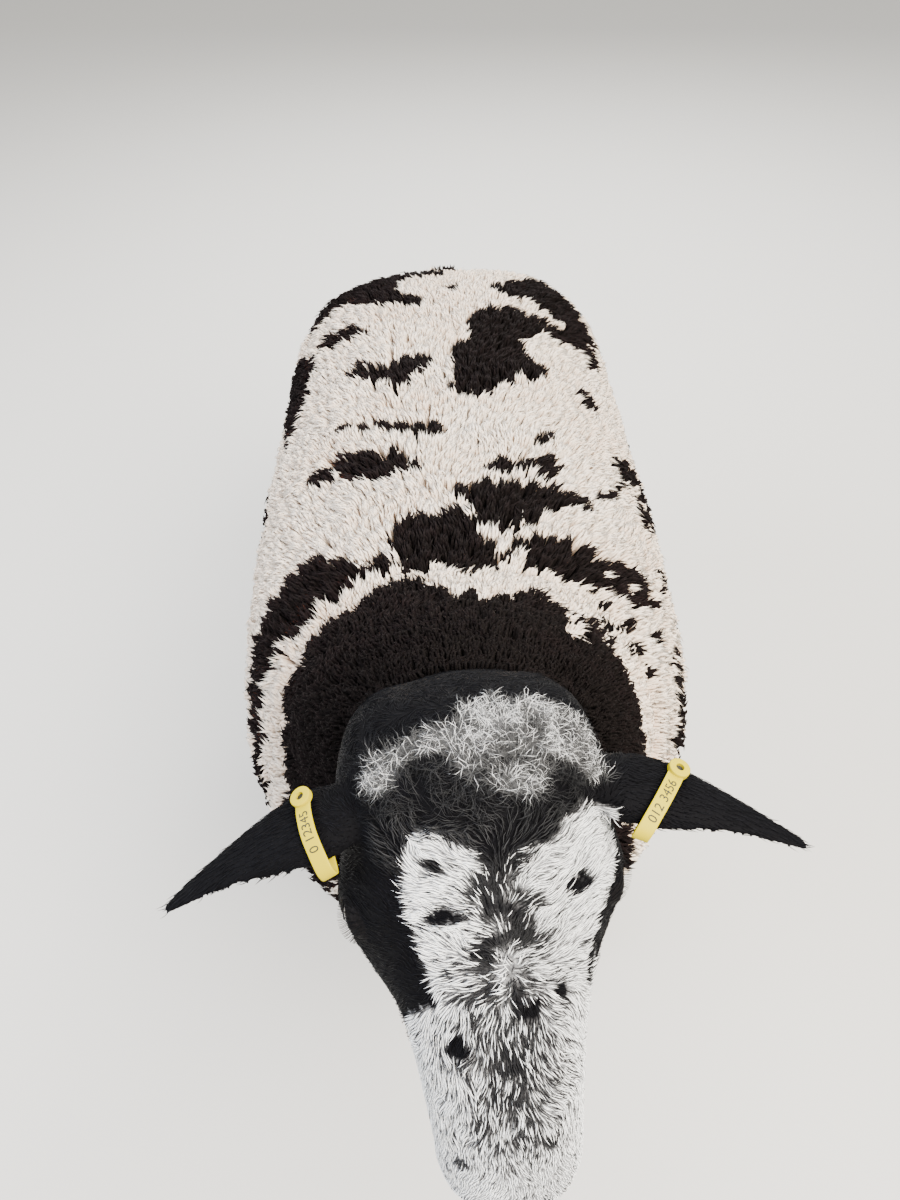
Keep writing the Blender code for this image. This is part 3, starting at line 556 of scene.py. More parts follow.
def lip_cutter():
    """A thin blade that follows the lips a little way in, as the line of the mouth."""
    blade = ball("mouth_blade", on_head(0.262, 0, MOUTH_DOWN), (0.052, 0.048, 0.0011), 48, 12,
                 (ALONG, OUT, UP))
    points = mesh_points(blade)
    s, o, u = head_coordinates(points)
    sag = 0.004 * smooth_step(0.25, 0.21, s) + 0.0022 * smooth_step(0.262, 0.285, s)
    set_mesh_points(blade, points - np.outer(sag, UP))
    core = ball("mouth_core", on_head(0.240, 0, MOUTH_DOWN), (0.038, 0.032, 0.010), 32, 16,
                (ALONG, OUT, UP))
    return combine(blade, core, "DIFFERENCE")


def nostril_line(side):
    """The middle of a nostril, and the direction of its slant."""
    hole = on_head(NOSTRIL_PLACE[0], side * NOSTRIL_PLACE[1], NOSTRIL_PLACE[2])
    return hole, unit(OUT * side * 0.75 + UP * 0.50 - ALONG * 0.45)


def nostril(name, side):
    """The slanted, comma-like opening, wide in front and drawn out behind."""
    hole, slant = nostril_line(side)
    normal = unit(np.cross(slant, ALONG))
    return ball(name, hole, (0.0115, 0.0034, 0.012), 24, 16, (slant, normal, np.cross(slant, normal)))


def largest_surface(thing):
    """Leave only the outer closed surface, without the hollows that a remesh can enclose."""
    shape = bmesh.new()
    shape.from_mesh(thing.data)
    left, pieces = set(shape.faces), []
    while left:
        piece, queue = [], [left.pop()]
        while queue:
            face = queue.pop()
            piece.append(face)
            for edge in face.edges:
                for other in edge.link_faces:
                    if other in left:
                        left.remove(other)
                        queue.append(other)
        pieces.append(piece)
    pieces.sort(key=len)
    bmesh.ops.delete(shape, geom=[f for piece in pieces[:-1] for f in piece], context="FACES")
    shape.to_mesh(thing.data)
    shape.free()
    return thing


def remeshed(thing, voxel, rounds):
    """Melt the joined forms into one even surface, and soften it."""
    finish_with(thing, "REMESH", mode="VOXEL", voxel_size=voxel, use_smooth_shade=True)
    finish_with(thing, "SMOOTH", factor=0.5, iterations=rounds)
    return largest_surface(thing)


def make_body_skin(voxel):
    """The hide of the trunk, neck, tail and legs, as one surface."""
    body = torso_form(WOOL_DEPTH)
    combine(body, neck_form())
    combine(body, tail_form())
    for word, rows, side, step in LEGS:
        combine(body, leg_form("leg_" + word, rows, side, step))
    remeshed(body, voxel, 3)
    body.name = "body_skin"
    return body


def make_head_skin(voxel):
    """The hide of the head and ears, with openings for the eyes, nostrils and mouth."""
    head = head_form()
    combine(head, neck_form())
    # The wool hides the neck beyond this plane, so the fine surface ends a little behind it
    block = ball("neck_block", (0, -0.13, 0.60), (0.42, 0.395, 0.395), 48, 32)
    combine(head, block, "DIFFERENCE")
    for side in (1, -1):
        combine(head, ear_form("ear", side))
        combine(head, ball("lid_mound", eye_axes(side)[0], [EYE_RADIUS + 0.003] * 3, 48, 32))
    remeshed(head, voxel, 2)
    set_mesh_points(head, shape_face(mesh_points(head)))
    for side in (1, -1):
        centre, level, upright, outward = eye_axes(side)
        combine(head, ball("socket", centre, [EYE_RADIUS + 0.0003] * 3, 64, 40), "DIFFERENCE")
        opening = ball("opening", centre + outward * EYE_RADIUS, (0.0125, 0.0080, 0.013), 48, 24,
                       (level, upright, outward))
        combine(head, opening, "DIFFERENCE")
        combine(head, nostril("nostril", side), "DIFFERENCE")
    combine(head, lip_cutter(), "DIFFERENCE")
    remeshed(head, voxel, 1)
    head.name = "head_skin"
    return head


# Outlines of the dark patches in millimetres: round the body from the spine to the left, and back
# from the shoulders. The hidden flanks and rump continue them as the breed does.
BODY_PATCHES = {
    "rump_left": [(-5, 385), (-50, 430), (-150, 440), (-240, 400), (-300, 340), (-262, 288),
        (-235, 280), (-205, 290), (-180, 305), (-156, 276), (-115, 258), (-80, 246), (-48, 232),
        (-36, 262), (-76, 282), (-102, 312), (-72, 345)],
    "rump_left_streak": [(-215, 202), (-200, 236), (-142, 208), (-140, 190), (-165, 186), (-190, 184)],
    "flank_left": [(-222, 205), (-236, 165), (-238, 112), (-250, 75), (-268, 30), (-300, 75),
        (-310, 150), (-345, 280), (-300, 270), (-262, 235)],
    "rump_middle": [(1, 306), (34, 298), (30, 290), (9, 294)],
    "rump_right": [(85, 300), (130, 330), (190, 380), (240, 350), (262, 280), (268, 215), (235, 205),
        (205, 215), (170, 244), (150, 268), (118, 268), (90, 274)],
    "saddle": [(30, 212), (80, 232), (104, 222), (146, 224), (185, 214), (222, 212), (255, 196),
        (250, 150), (220, 170), (188, 180), (155, 172), (116, 146), (124, 122), (140, 98), (160, 72),
        (140, 56), (112, 60), (80, 40), (52, 16), (25, 14), (6, 30), (0, 70), (6, 115), (30, 142)],
    "back_left_oval": [(-168, 96), (-148, 112), (-104, 100), (-80, 104), (-50, 101), (-26, 92),
        (-34, 70), (-66, 60), (-79, 40), (-98, 52), (-120, 64), (-148, 80)],
    "back_left_thin": [(-176, -16), (-165, -10), (-121, -26), (-95, -30), (-72, -30), (-34, -40),
        (-7, -48), (-8, -64), (-36, -64), (-65, -52), (-96, -42), (-122, -40)],
    "rib_left": [(-222, -106), (-190, -94), (-169, -82), (-141, -78), (-100, -84), (-71, -100),
        (-50, -124), (-44, -140), (-70, -137), (-94, -142), (-132, -134), (-171, -116), (-200, -112)],
    "rib_right_small": [(190, 60), (228, 72), (232, 34), (207, 30), (198, 46)],
    "back_right_dot": [(117, -78), (140, -62), (143, -70), (131, -76)],
    "back_right": [(40, -117), (65, -110), (102, -102), (143, -100), (146, -130), (110, -140),
        (90, -128), (68, -140), (46, -143), (44, -124)],
    "back_right_band": [(-5, -172), (15, -158), (44, -152), (68, -168), (109, -163), (147, -160),
        (176, -156), (184, -172), (154, -190), (121, -200), (81, -222), (51, -235), (33, -236),
        (16, -216), (4, -185)],
    "rib_right_streak": [(224, -55), (262, -30), (300, -30), (330, -60), (310, -130), (275, -155),
        (250, -128), (215, -148), (182, -160), (182, -150), (230, -122), (250, -108), (246, -83)],
    "withers_left": [(-98, -241), (-84, -232), (-48, -212), (0, -210), (21, -230), (18, -248),
        (40, -254), (50, -266), (41, -291), (18, -300), (-7, -295), (-32, -285), (-62, -277),
        (-85, -276), (-102, -268), (-84, -256)],
    "withers_right": [(50, -258), (77, -252), (123, -247), (155, -248), (180, -262), (205, -258),
        (232, -262), (258, -282), (246, -306), (215, -308), (190, -302), (172, -312), (150, -312),
        (124, -298), (91, -291), (60, -286)],
    "shoulder_left": [(-235, -262), (-200, -240), (-172, -238), (-140, -262), (-117, -285),
        (-141, -297), (-172, -309), (-198, -316), (-224, -328), (-256, -338), (-300, -348),
        (-345, -372), (-400, -394), (-470, -414), (-560, -425), (-560, -402), (-470, -386),
        (-391, -362), (-331, -320), (-280, -288)],
    "shoulder_link": [(-130, -270), (-88, -274), (-64, -272), (-37, -280), (-34, -299), (-73, -292),
        (-130, -290)],
    "collar": [(-640, -470), (-520, -455), (-450, -430), (-384, -405), (-314, -375), (-256, -357),
        (-217, -345), (-176, -331), (-143, -321), (-118, -312), (-98, -302), (-70, -303), (-50, -325),
        (-40, -350), (-4, -358), (17, -364), (27, -374), (52, -372), (82, -342), (108, -345),
        (138, -360), (172, -382), (215, -400), (257, -413), (306, -432), (368, -455), (422, -468),
        (520, -480), (640, -500), (640, -800), (-640, -800)],
    "shoulder_right": [(298, -312), (320, -318), (355, -334), (410, -350), (460, -376), (540, -396),
        (540, -420), (450, -400), (400, -378), (350, -354), (315, -336)],
    "hind_right_thigh": [(-300, 330), (-380, 360), (-470, 330), (-520, 250), (-450, 215), (-380, 240),
        (-330, 285)],
    "rib_low_right": [(-330, 10), (-300, -60), (-340, -130), (-420, -120), (-470, -60), (-430, 0),
        (-380, 30)],
    "elbow_right": [(-430, -215), (-480, -260), (-560, -250), (-540, -190), (-470, -175)],
    "hind_left_thigh": [(300, 360), (370, 390), (450, 370), (560, 300), (520, 225), (430, 240),
        (380, 290), (320, 300)],
    "rib_low_left": [(330, 90), (360, 20), (440, -20), (520, 20), (480, 100), (400, 130)],
    "flank_left_spot": [(350, -130), (390, -180), (440, -160), (420, -110)],
    "tail_root": [(-40, 455), (50, 440), (80, 470), (60, 600), (-60, 600)],
    "seat_left": [(140, 480), (300, 452), (400, 470), (330, 560), (160, 560)],
    "seat_right": [(-180, 470), (-250, 440), (-420, 440), (-420, 560), (-200, 560)],
}
# Roan wool, where dark and white staples stand side by side: the same measures and the reach,
# in metres
BODY_ROAN = ((0.215, -0.350, 0.050), (0.250, -0.360, 0.040), (0.260, -0.090, 0.040),
             (0.100, -0.128, 0.018), (-0.075, 0.045, 0.020), (0.300, -0.250, 0.035))

# The face in millimetres: along it from the poll, and round it to the left
HEAD_PATCHES = {
    "poll": [(14, -62), (6, -50), (1, -36), (-6, -19), (-11, -4), (-12, 14), (-10, 32), (-7, 49),
        (-2, 60), (8, 70), (23, 75), (36, 70), (36, 62), (28, 55), (20, 46), (16, 36), (24, 34),
        (31, 32), (34, 24), (31, 12), (25, 1), (19, -6), (13, -13), (8, -16), (8, -28), (12, -40),
        (18, -44), (24, -42), (29, -47), (28, -58)],
    "face": [(52, -38), (46, -31), (48, -22), (54, -12), (62, -3), (64, 8), (60, 17), (59, 26),
        (57, 34), (51, 41), (47, 53), (50, 63), (58, 72), (76, 78), (92, 74), (103, 66), (116, 62),
        (128, 64), (142, 68), (156, 72), (173, 78), (200, 86), (225, 100), (240, 240), (320, 240),
        (320, -240), (230, -240), (205, -110), (188, -76), (176, -64), (163, -66), (156, -58),
        (153, -46), (147, -38), (137, -37), (124, -39), (110, -41), (94, -43), (76, -42), (62, -41)],
}
# Dark spots on the white of the face, in millimetres: along, round, reach along, reach round.
# The last value is their strength.
FACE_SPOTS = (
    (66, -26, 5, 5, 1.0), (93, -23, 6, 9.5, 1.0), (99, -36, 3, 3, 0.8), (87, 45, 7, 7.5, 1.0),
    (92, 16, 9, 11, 0.8), (78, 0, 9, 11, 0.85), (89, -9, 6, 7.5, 0.6), (108, 13, 8, 11, 0.85),
    (116, -11, 5, 5, 0.9), (124, 15, 4, 5, 0.45), (131, 6, 5, 8, 0.6), (128, -28, 6, 3.5, 0.7),
    (146, 37, 6, 4.5, 1.0), (152, 16, 7, 7, 1.0), (154, -10, 5, 5, 0.5), (142, -21, 5, 6, 0.8),
    (161, 34, 4, 4, 0.4), (170, -26, 8, 7, 1.0), (196, 4, 5, 8, 0.8), (176, 11, 3, 3, 0.3),
    (113, 68, 13, 6, 1.0), (141, 61, 16, 3.5, 1.0), (66, 7, 12, 12, 0.9), (215, -20, 6, 5, 0.7),
    (232, 22, 5, 6, 0.8), (245, -36, 5, 5, 0.7),
)


def in_outline(points, outline_mm):
    """How deep each flat point lies inside an outline; below zero outside it."""
    outline = [(x / 1000, y / 1000) for x, y in outline_mm]
    best = np.full(len(points), 9.0)
    inside = np.zeros(len(points), bool)
    for (x0, y0), (x1, y1) in zip(outline, outline[1:] + outline[:1]):
        ex, ey = x1 - x0, y1 - y0
        px, py = points[:, 0] - x0, points[:, 1] - y0
        t = np.clip((px * ex + py * ey) / (ex * ex + ey * ey), 0, 1)
        best = np.minimum(best, np.hypot(px - ex * t, py - ey * t))
        if y0 != y1:
            crosses = (y0 > points[:, 1]) != (y1 > points[:, 1])
            inside ^= crosses & (points[:, 0] < ex * (points[:, 1] - y0) / ey + x0)
    return np.where(inside, best, -best)


def body_round(points):
    """Metres round the body, and metres along it."""
    turned = np.arctan2(points[:, 0], points[:, 2] - axis_height(points[:, 1]))
    return np.stack((turned * BODY_RADIUS, points[:, 1]), 1)


def head_round(points):
    """Metres along the face from the poll, and metres round it to the left."""
    s, o, u = head_coordinates(points)
    return np.stack((s, np.arctan2(o, u + HEAD_CORE) * HEAD_RADIUS), 1)


def body_dark(points):
    """0 in white wool to 1 in dark wool, and how deep each point lies inside a dark patch."""
    place = body_round(points)
    place[:, 0] += 0.0035 * cloud(points, 0.034, 3) + 0.0018 * cloud(points, 0.012, 4)
    place[:, 1] += 0.0030 * cloud(points, 0.034, 5) + 0.0015 * cloud(points, 0.012, 6)
    depth = np.full(len(points), -9.0)
    for outline in BODY_PATCHES.values():
        depth = np.maximum(depth, in_outline(place, outline))
    legs = smooth_step(0.440, 0.400, points[:, 2])
    marble = 0.010 * (cloud(points, 0.045, 9) * 1.6 + cloud(points, 0.018, 10) * 0.7 - 0.15)
    depth = depth * (1 - legs) + marble * legs
    return smooth_step(-0.0025, 0.0025, depth), depth


def head_dark(points):
    """0 in white hair to 1 in black hair, with the roan places in between."""
    place = head_round(points)
    place[:, 0] += 0.0022 * cloud(points, 0.009, 13) + 0.0012 * cloud(points, 0.004, 14)
    place[:, 1] += 0.0022 * cloud(points, 0.009, 15) + 0.0012 * cloud(points, 0.004, 16)
    face = smooth_step(-0.0015, 0.0015, in_outline(place, HEAD_PATCHES["face"]))
    poll = smooth_step(-0.0030, 0.0030, in_outline(place, HEAD_PATCHES["poll"]))
    s, r = place[:, 0], place[:, 1]
    mottle = np.clip(0.60 + 1.15 * cloud(points, 0.0075, 17), 0, 1.3)
    grey = np.exp(-((s - 0.092) / 0.042) ** 2 - ((r - 0.007) / 0.021) ** 2)
    bridge = (smooth_step(0.09, 0.15, s) * np.exp(-((r - 0.002) / 0.034) ** 2)
              * smooth_step(0.262, 0.225, s))
    grey = np.clip(0.98 * grey * mottle + 0.76 * bridge * (0.64 + 0.36 * mottle) + 0.05, 0, 0.92)
    spots = np.zeros(len(points))
    ragged = 0.75 * cloud(points, 0.0040, 20)
    for *sizes_mm, strength in FACE_SPOTS:
        along, around, reach_s, reach_r = (size / 1000 for size in sizes_mm)
        off = ((s - along) / reach_s) ** 2 + ((r - around) / reach_r) ** 2 + ragged
        spots = np.maximum(spots, strength * smooth_step(1.55, 0.45, off))
    fine = np.clip(cloud(points, 0.0045, 18) * 1.6 - 0.62, 0, 1) * 0.8 * smooth_step(0.05, 0.09, s)
    dark = 1 - face * (1 - np.maximum(np.maximum(spots, grey), fine * 0.6))
    poll_dark = 1 - poll * (0.34 + 0.34 * cloud(points, 0.010, 19))
    dark = np.where(poll > 0, np.minimum(dark, poll_dark), dark)
    at_ear = (np.abs(head_coordinates(points)[1]) > 0.0745) & (s < 0.080)
    dark = np.where(at_ear, 1.0, dark)
    lips = smooth_step(0.262, 0.276, s)
    return np.clip(np.maximum(dark, 0.20 * lips), 0, 1)


def wool_ahead(points):
    """Metres ahead of the edge where the wool of the neck ends, drawn back beside the ears."""
    beside = smooth_step(0.035, 0.085, np.abs(points[:, 0])) * smooth_step(0.80, 0.88, points[:, 2])
    return (points - WOOL_EDGE_TOP) @ WOOL_AHEAD + WOOL_EDGE_BACK * beside


def is_woolly(points, margin):
    """Whether wool grows at each point, not the short hair of head and shanks."""
    behind = wool_ahead(points) < margin
    return behind & (points[:, 2] > LEG_WOOL_END + 0.012)


def all_dark(points):
    """The markings of wool and hair together, for the skin that shows between them."""
    ahead = wool_ahead(points)
    high = points[:, 2] > HEAD_FLOOR
    on_head_side = smooth_step(-0.004, 0.008, ahead) * high
    body = np.where((ahead > -0.012) & high, 1.0, body_dark(points)[0])
    return body * (1 - on_head_side) + smooth_step(0.05, 1.00, head_dark(points)) * on_head_side


def is_clear(kept, places, key, place, reach):
    """Whether none of the places kept in this cell and those round it lies within the reach."""
    for dx in (-1, 0, 1):
        for dy in (-1, 0, 1):
            for dz in (-1, 0, 1):
                for other in kept.get((key[0] + dx, key[1] + dy, key[2] + dz), ()):
                    far = places[other]
                    if ((far[0] - place[0]) ** 2 + (far[1] - place[1]) ** 2
                            + (far[2] - place[2]) ** 2) < reach:
                        return False
    return True


def spread(skin, wanted, pitch_of, seed, attempts):
    """Pick places on the skin that keep their distance from each other."""
    mesh = skin.data
    mesh.calc_loop_triangles()
    corners = np.empty(len(mesh.loop_triangles) * 3, int)
    mesh.loop_triangles.foreach_get("vertices", corners)
    corners = corners.reshape(-1, 3)
    points = mesh_points(skin)
    normals = np.empty(len(points) * 3)
    mesh.vertex_normals.foreach_get("vector", normals)
    normals = normals.reshape(-1, 3)
    corners = corners[wanted(points[corners].mean(axis=1))]
    a, b, c = (points[corners[:, k]] for k in range(3))
    area = np.linalg.norm(np.cross(b - a, c - a), axis=1) / 2
    rng = np.random.default_rng(seed)
    weight = area / pitch_of(points[corners].mean(axis=1)) ** 2
    count = int(attempts * weight.sum())
    pick = rng.choice(len(corners), count, p=weight / weight.sum())
    p, q = rng.random((2, count))
    over = p + q > 1
    p[over], q[over] = 1 - p[over], 1 - q[over]
    share = np.stack((1 - p - q, p, q), 1)[:, :, None]
    places = (points[corners[pick]] * share).sum(axis=1)
    facing = unit_rows((normals[corners[pick]] * share).sum(axis=1))
    pitches = pitch_of(places)
    keys = np.floor(places / float(pitches.max())).astype(int)
    grid, kept = {}, []
    rows = places.tolist()
    for k, (key, pitch) in enumerate(zip(keys.tolist(), pitches.tolist())):
        if is_clear(grid, rows, key, rows[k], pitch * pitch):
            grid.setdefault(tuple(key), []).append(k)
            kept.append(k)
    return places[kept], facing[kept]


def chart(points):
    """An unwrap of the animal's own shape: body, head with its ears, and legs each have their sheet."""
    body, head = body_round(points), head_round(points)
    body_sheet = np.stack((0.02 + 0.56 * (body[:, 0] / 1.51 + 0.5),
                           0.02 + 0.96 * (body[:, 1] + 0.70) / 1.25), 1)
    head_sheet = np.stack((0.62 + 0.36 * (head[:, 0] + 0.12) / 0.42,
                           0.40 + 0.58 * (head[:, 1] / 0.44 + 0.5)), 1)
    is_head = (wool_ahead(points) > 0) & (points[:, 2] > HEAD_FLOOR)
    place = np.where(is_head[:, None], head_sheet, body_sheet)
    hind = points[:, 1] > 0.05
    number = (points[:, 0] > 0).astype(int) + 2 * hind.astype(int)
    middle = np.where(hind, 0.40, -0.278)
    turned = np.arctan2(points[:, 1] - middle, np.abs(points[:, 0]) - 0.112) / (2 * np.pi) + 0.5
    leg_sheet = np.stack((0.62 + 0.09 * number + 0.085 * turned, 0.02 + 0.35 * points[:, 2] / 0.36), 1)
    return np.where((points[:, 2] < 0.36)[:, None], leg_sheet, place)


class Tuft:
    """One tapering three-sided tuft, to be repeated: its rings of corners from root to tip."""

    def __init__(self, levels, widths, flatness):
        self.levels, self.widths, self.flatness = np.array(levels), np.array(widths), flatness
        tip = 3 * len(levels)
        sides = [(k, (k + 1) % 3) for k in range(3)]
        self.quads = [(r + k, r + j, r + 3 + j, r + 3 + k)
                      for r in range(0, tip - 3, 3) for k, j in sides]
        self.ends = [(tip - 3 + k, tip - 3 + j, tip) for k, j in sides] + [(2, 1, 0)]
        self.count = tip + 1
        self.triangles = 2 * len(self.quads) + len(self.ends)


def write_attribute(mesh, name, values):
    """Give each point of a mesh a value that its material can read."""
    layer = mesh.attributes.new(name, "FLOAT", "POINT")
    layer.data.foreach_set("value", values.astype(np.float32))


def grow(name, tuft, roots, facing, lie, length, width, rise, curl, dark, tone, rng, pull=None):
    """Build one piece of coat: every root gets a tuft that leaves the skin and turns to the lie."""
    count = len(roots)
    if count * tuft.triangles >= PIECE_TRIANGLES:
        raise RuntimeError(f"{name} would have {count * tuft.triangles} triangles")
    across = np.cross(facing, lie)
    levels = np.append(tuft.levels, 1.0)
    widths = np.append(tuft.widths, 0.0)
    t = levels[None, :, None]
    length, width, rise, curl = (np.broadcast_to(value, count)[:, None, None]
                                 for value in (length, width, rise, curl))
    out = rise * np.sin(np.minimum(t * 1.25, 1.0) * np.pi / 2) - 0.12 * rise * t ** 3
    run = length * (0.28 * t + 0.72 * t ** 1.7)
    phase = rng.random((count, 1, 1)) * 2 * np.pi
    sway = curl * np.sin(t * 7.5 + phase) * t
    lift = curl * np.cos(t * 7.5 + phase * 1.7) * t
    spine = (roots[:, None, :] + facing[:, None, :] * (out + lift * 0.6 - 0.10 * rise * (t <= 0))
             + lie[:, None, :] * run + across[:, None, :] * sway)
    if pull is not None:
        spine = spine + pull[:, None, :] * t ** 1.4
    # Each ring of corners stands square to the spine, and each tuft is rolled a little
    turn = ring_angles(3)
    roll = (rng.random(count) - 0.5)[:, None, None, None] * 0.9
    ca, sa = np.cos(turn)[None, None, :, None], np.sin(turn)[None, None, :, None]
    side_way = across[:, None, None, :]
    gone = np.gradient(spine, axis=1)
    gone /= np.maximum(np.linalg.norm(gone, axis=2), 1e-9)[:, :, None]
    up_way = np.cross(gone, np.broadcast_to(across[:, None, :], gone.shape))[:, :, None, :]
    side_turned = side_way * np.cos(roll) + up_way * np.sin(roll)
    up_turned = up_way * np.cos(roll) - side_way * np.sin(roll)
    half = (width * widths[None, :, None] / 2)[:, :, None, :]
    corners = side_turned[:, :-1] * ca + up_turned[:, :-1] * sa * tuft.flatness
    body = spine[:, :-1, None, :] + half[:, :-1] * corners
    points = np.concatenate((body.reshape(count, -1, 3), spine[:, -1:, :]), axis=1)
    base = (np.arange(count) * tuft.count)[:, None, None]
    quads = (np.array(tuft.quads)[None] + base).reshape(-1, 4)
    ends = (np.array(tuft.ends)[None] + base).reshape(-1, 3)
    loops = np.concatenate((quads.ravel(), ends.ravel()))
    starts = np.concatenate((np.arange(len(quads)) * 4, len(quads) * 4 + np.arange(len(ends)) * 3))
    mesh = bpy.data.meshes.new(name)
    mesh.vertices.add(count * tuft.count)
    mesh.vertices.foreach_set("co", (points + SHIFT).ravel())
    mesh.loops.add(len(loops))
    mesh.loops.foreach_set("vertex_index", loops)
    mesh.polygons.add(len(starts))
    mesh.polygons.foreach_set("loop_start", starts)
    mesh.polygons.foreach_set("use_smooth", np.ones(len(starts), bool))
    along = np.append(np.repeat(levels[:-1], 3), 1.0)
    breadth = np.append(np.tile(np.cos(turn), len(levels) - 1), 0.0)
    write_attribute(mesh, "dark", np.repeat(dark, tuft.count))
    write_attribute(mesh, "tone", np.repeat(tone, tuft.count))
    write_attribute(mesh, "along", np.tile(along, count))
    write_attribute(mesh, "breadth", np.tile(breadth, count))
    # Each tuft has a small patch of the chart, at the place of its root
    sheet = chart(roots)[:, None, :] + 0.0015 * np.stack((breadth, 2 * along - 1), 1)[None]
    layer = mesh.uv_layers.new(name="OFBake")
    layer.data.foreach_set("uv", sheet.reshape(-1, 2)[loops].astype(np.float32).ravel())
    mesh.update(calc_edges=True)
    mesh.validate()
    return add_object(name, mesh)


def turned_in_plane(lie, facing, angle):
    """Keep the lie on the surface and swing it by an angle."""
    lie = lie - facing * (lie * facing).sum(axis=1)[:, None]
    lie /= np.maximum(np.linalg.norm(lie, axis=1), 1e-6)[:, None]
    return lie * np.cos(angle)[:, None] + np.cross(facing, lie) * np.sin(angle)[:, None]


def wool_lie(points, facing):
    """Wool parts along the spine, falls down the sides and points back."""
    lie = np.zeros((len(points), 3))
    lie[:, 0] = np.sign(points[:, 0]) * smooth_step(0.0, 0.16, np.abs(points[:, 0])) * 0.75
    lie[:, 1] = 0.75
    lie[:, 2] = -0.15 - 0.75 * (1 - np.maximum(0.0, facing[:, 2]))
    swing = 0.45 * cloud(points, 0.045, 21) + 0.30 * cloud(points, 0.018, 22)
    return turned_in_plane(lie, facing, swing)


def wool_pitch(points):
    """The distance between wisps of wool, finest where the animal is looked at most."""
    seen = smooth_step(0.60, 0.70, points[:, 2])
    belly = smooth_step(0.46, 0.41, points[:, 2]) * (points[:, 2] > 0.36)
    front = smooth_step(-0.10, -0.40, points[:, 1])
    chest = smooth_step(-0.25, -0.35, points[:, 1]) * smooth_step(0.66, 0.58, points[:, 2])
    return 0.84 - 0.17 * seen + 0.50 * belly + 0.13 * chest - 0.06 * front * seen


def wool_depth(points):
    """How far the coat stands above the skin: less near the head, on the legs and on the tail."""
    ahead = wool_ahead(points)
    depth = np.full(len(points), WOOL_DEPTH)
    near = smooth_step(-0.16, -0.005, ahead) * (points[:, 2] > NECK_FLOOR)
    depth = depth * (1 - near) + THIN_WOOL_DEPTH * near
    depth -= 0.006 * smooth_step(-0.030, 0.0, ahead) * (points[:, 2] > NECK_FLOOR)
    legs = smooth_step(0.42, 0.34, points[:, 2])
    depth = depth * (1 - legs) + LEG_WOOL_DEPTH * legs
    tail = (smooth_step(0.455, 0.485, points[:, 1]) * (np.abs(points[:, 0]) < 0.06)
            * (points[:, 2] < 0.72))
    return depth * (1 - tail) + THIN_WOOL_DEPTH * tail


# Where the rings of a tuft sit along it, how wide they are there, and how thick for their width
FLEECE_TUFT = Tuft((0.0, 0.54), (1.0, 0.84), 0.75)
HAIR_TUFT = Tuft((0.0, 0.38, 0.74), (0.80, 1.0, 0.66), 0.55)
DOWN_TUFT = Tuft((0.0, 0.55), (0.85, 0.90), 0.55)

FLEECE_ZONES = ("back", "rump", "withers", "left", "right", "flank_left", "flank_right", "belly",
                "chest", "neck", "legs")


def fleece_zone(points):
    """Which piece of the fleece each root belongs to."""
    place = body_round(points)
    g, y = place[:, 0], points[:, 1]
    zone = np.full(len(points), "back", dtype="U12")
    zone[y > 0.26] = "rump"
    zone[y < -0.16] = "withers"
    zone[g > 0.20] = "left"
    zone[g < -0.20] = "right"
    zone[g > 0.40] = "flank_left"
    zone[g < -0.40] = "flank_right"
    zone[(wool_ahead(points) > -0.24) & (points[:, 2] > 0.56)] = "neck"
    under = np.abs(g) > 0.56
    zone[under] = "belly"
    zone[under & (y < -0.25)] = "chest"
    zone[points[:, 2] < 0.40] = "legs"
    return zone


def nearest(points, centres):
    """For each point, the index of the nearest centre."""
    tree = KDTree(len(centres))
    for k, place in enumerate(centres.tolist()):
        tree.insert(place, k)
    tree.balance()
    return np.array([tree.find(place)[1] for place in points.tolist()])


def dye_staples(staples, covered, rng):
    """How dark each staple is, from the place that its tip covers, and its shade."""
    place = body_round(covered)
    dark, deep = body_dark(covered)
    dark = (dark > rng.random(len(staples)) * 0.6 + 0.2).astype(float)
    roan = np.zeros(len(staples))
    for g, y, radius in BODY_ROAN:
        off = (place[:, 0] - g) ** 2 + (place[:, 1] - y) ** 2
        roan = np.maximum(roan, np.exp(-off / radius ** 2))
    swap = rng.random(len(staples)) < roan * 0.42
    dark[swap] = 1 - dark[swap]
    stray = (rng.random(len(staples)) < 0.06) & (np.abs(deep) < 0.008)
    dark[stray] = 1 - dark[stray]
    # Weather bleaches dark wool to brown, most at the sides and along the edges of a patch
    side_end = smooth_step(-0.04, -0.17, place[:, 0]) + 0.7 * smooth_step(0.14, 0.24, place[:, 0])
    edge = np.exp(-np.abs(deep) / 0.013) * side_end
    bleach = 0.10 + 0.34 * cloud(staples, 0.05, 25) + 1.00 * edge + 0.20 * side_end
    bleach = np.clip(bleach, 0, 1) * smooth_step(0.0, -0.10, wool_ahead(staples))
    peach = 0.5 + 0.5 * cloud(staples, 0.07, 26)
    return dark, np.where(dark > 0.5, bleach, peach)


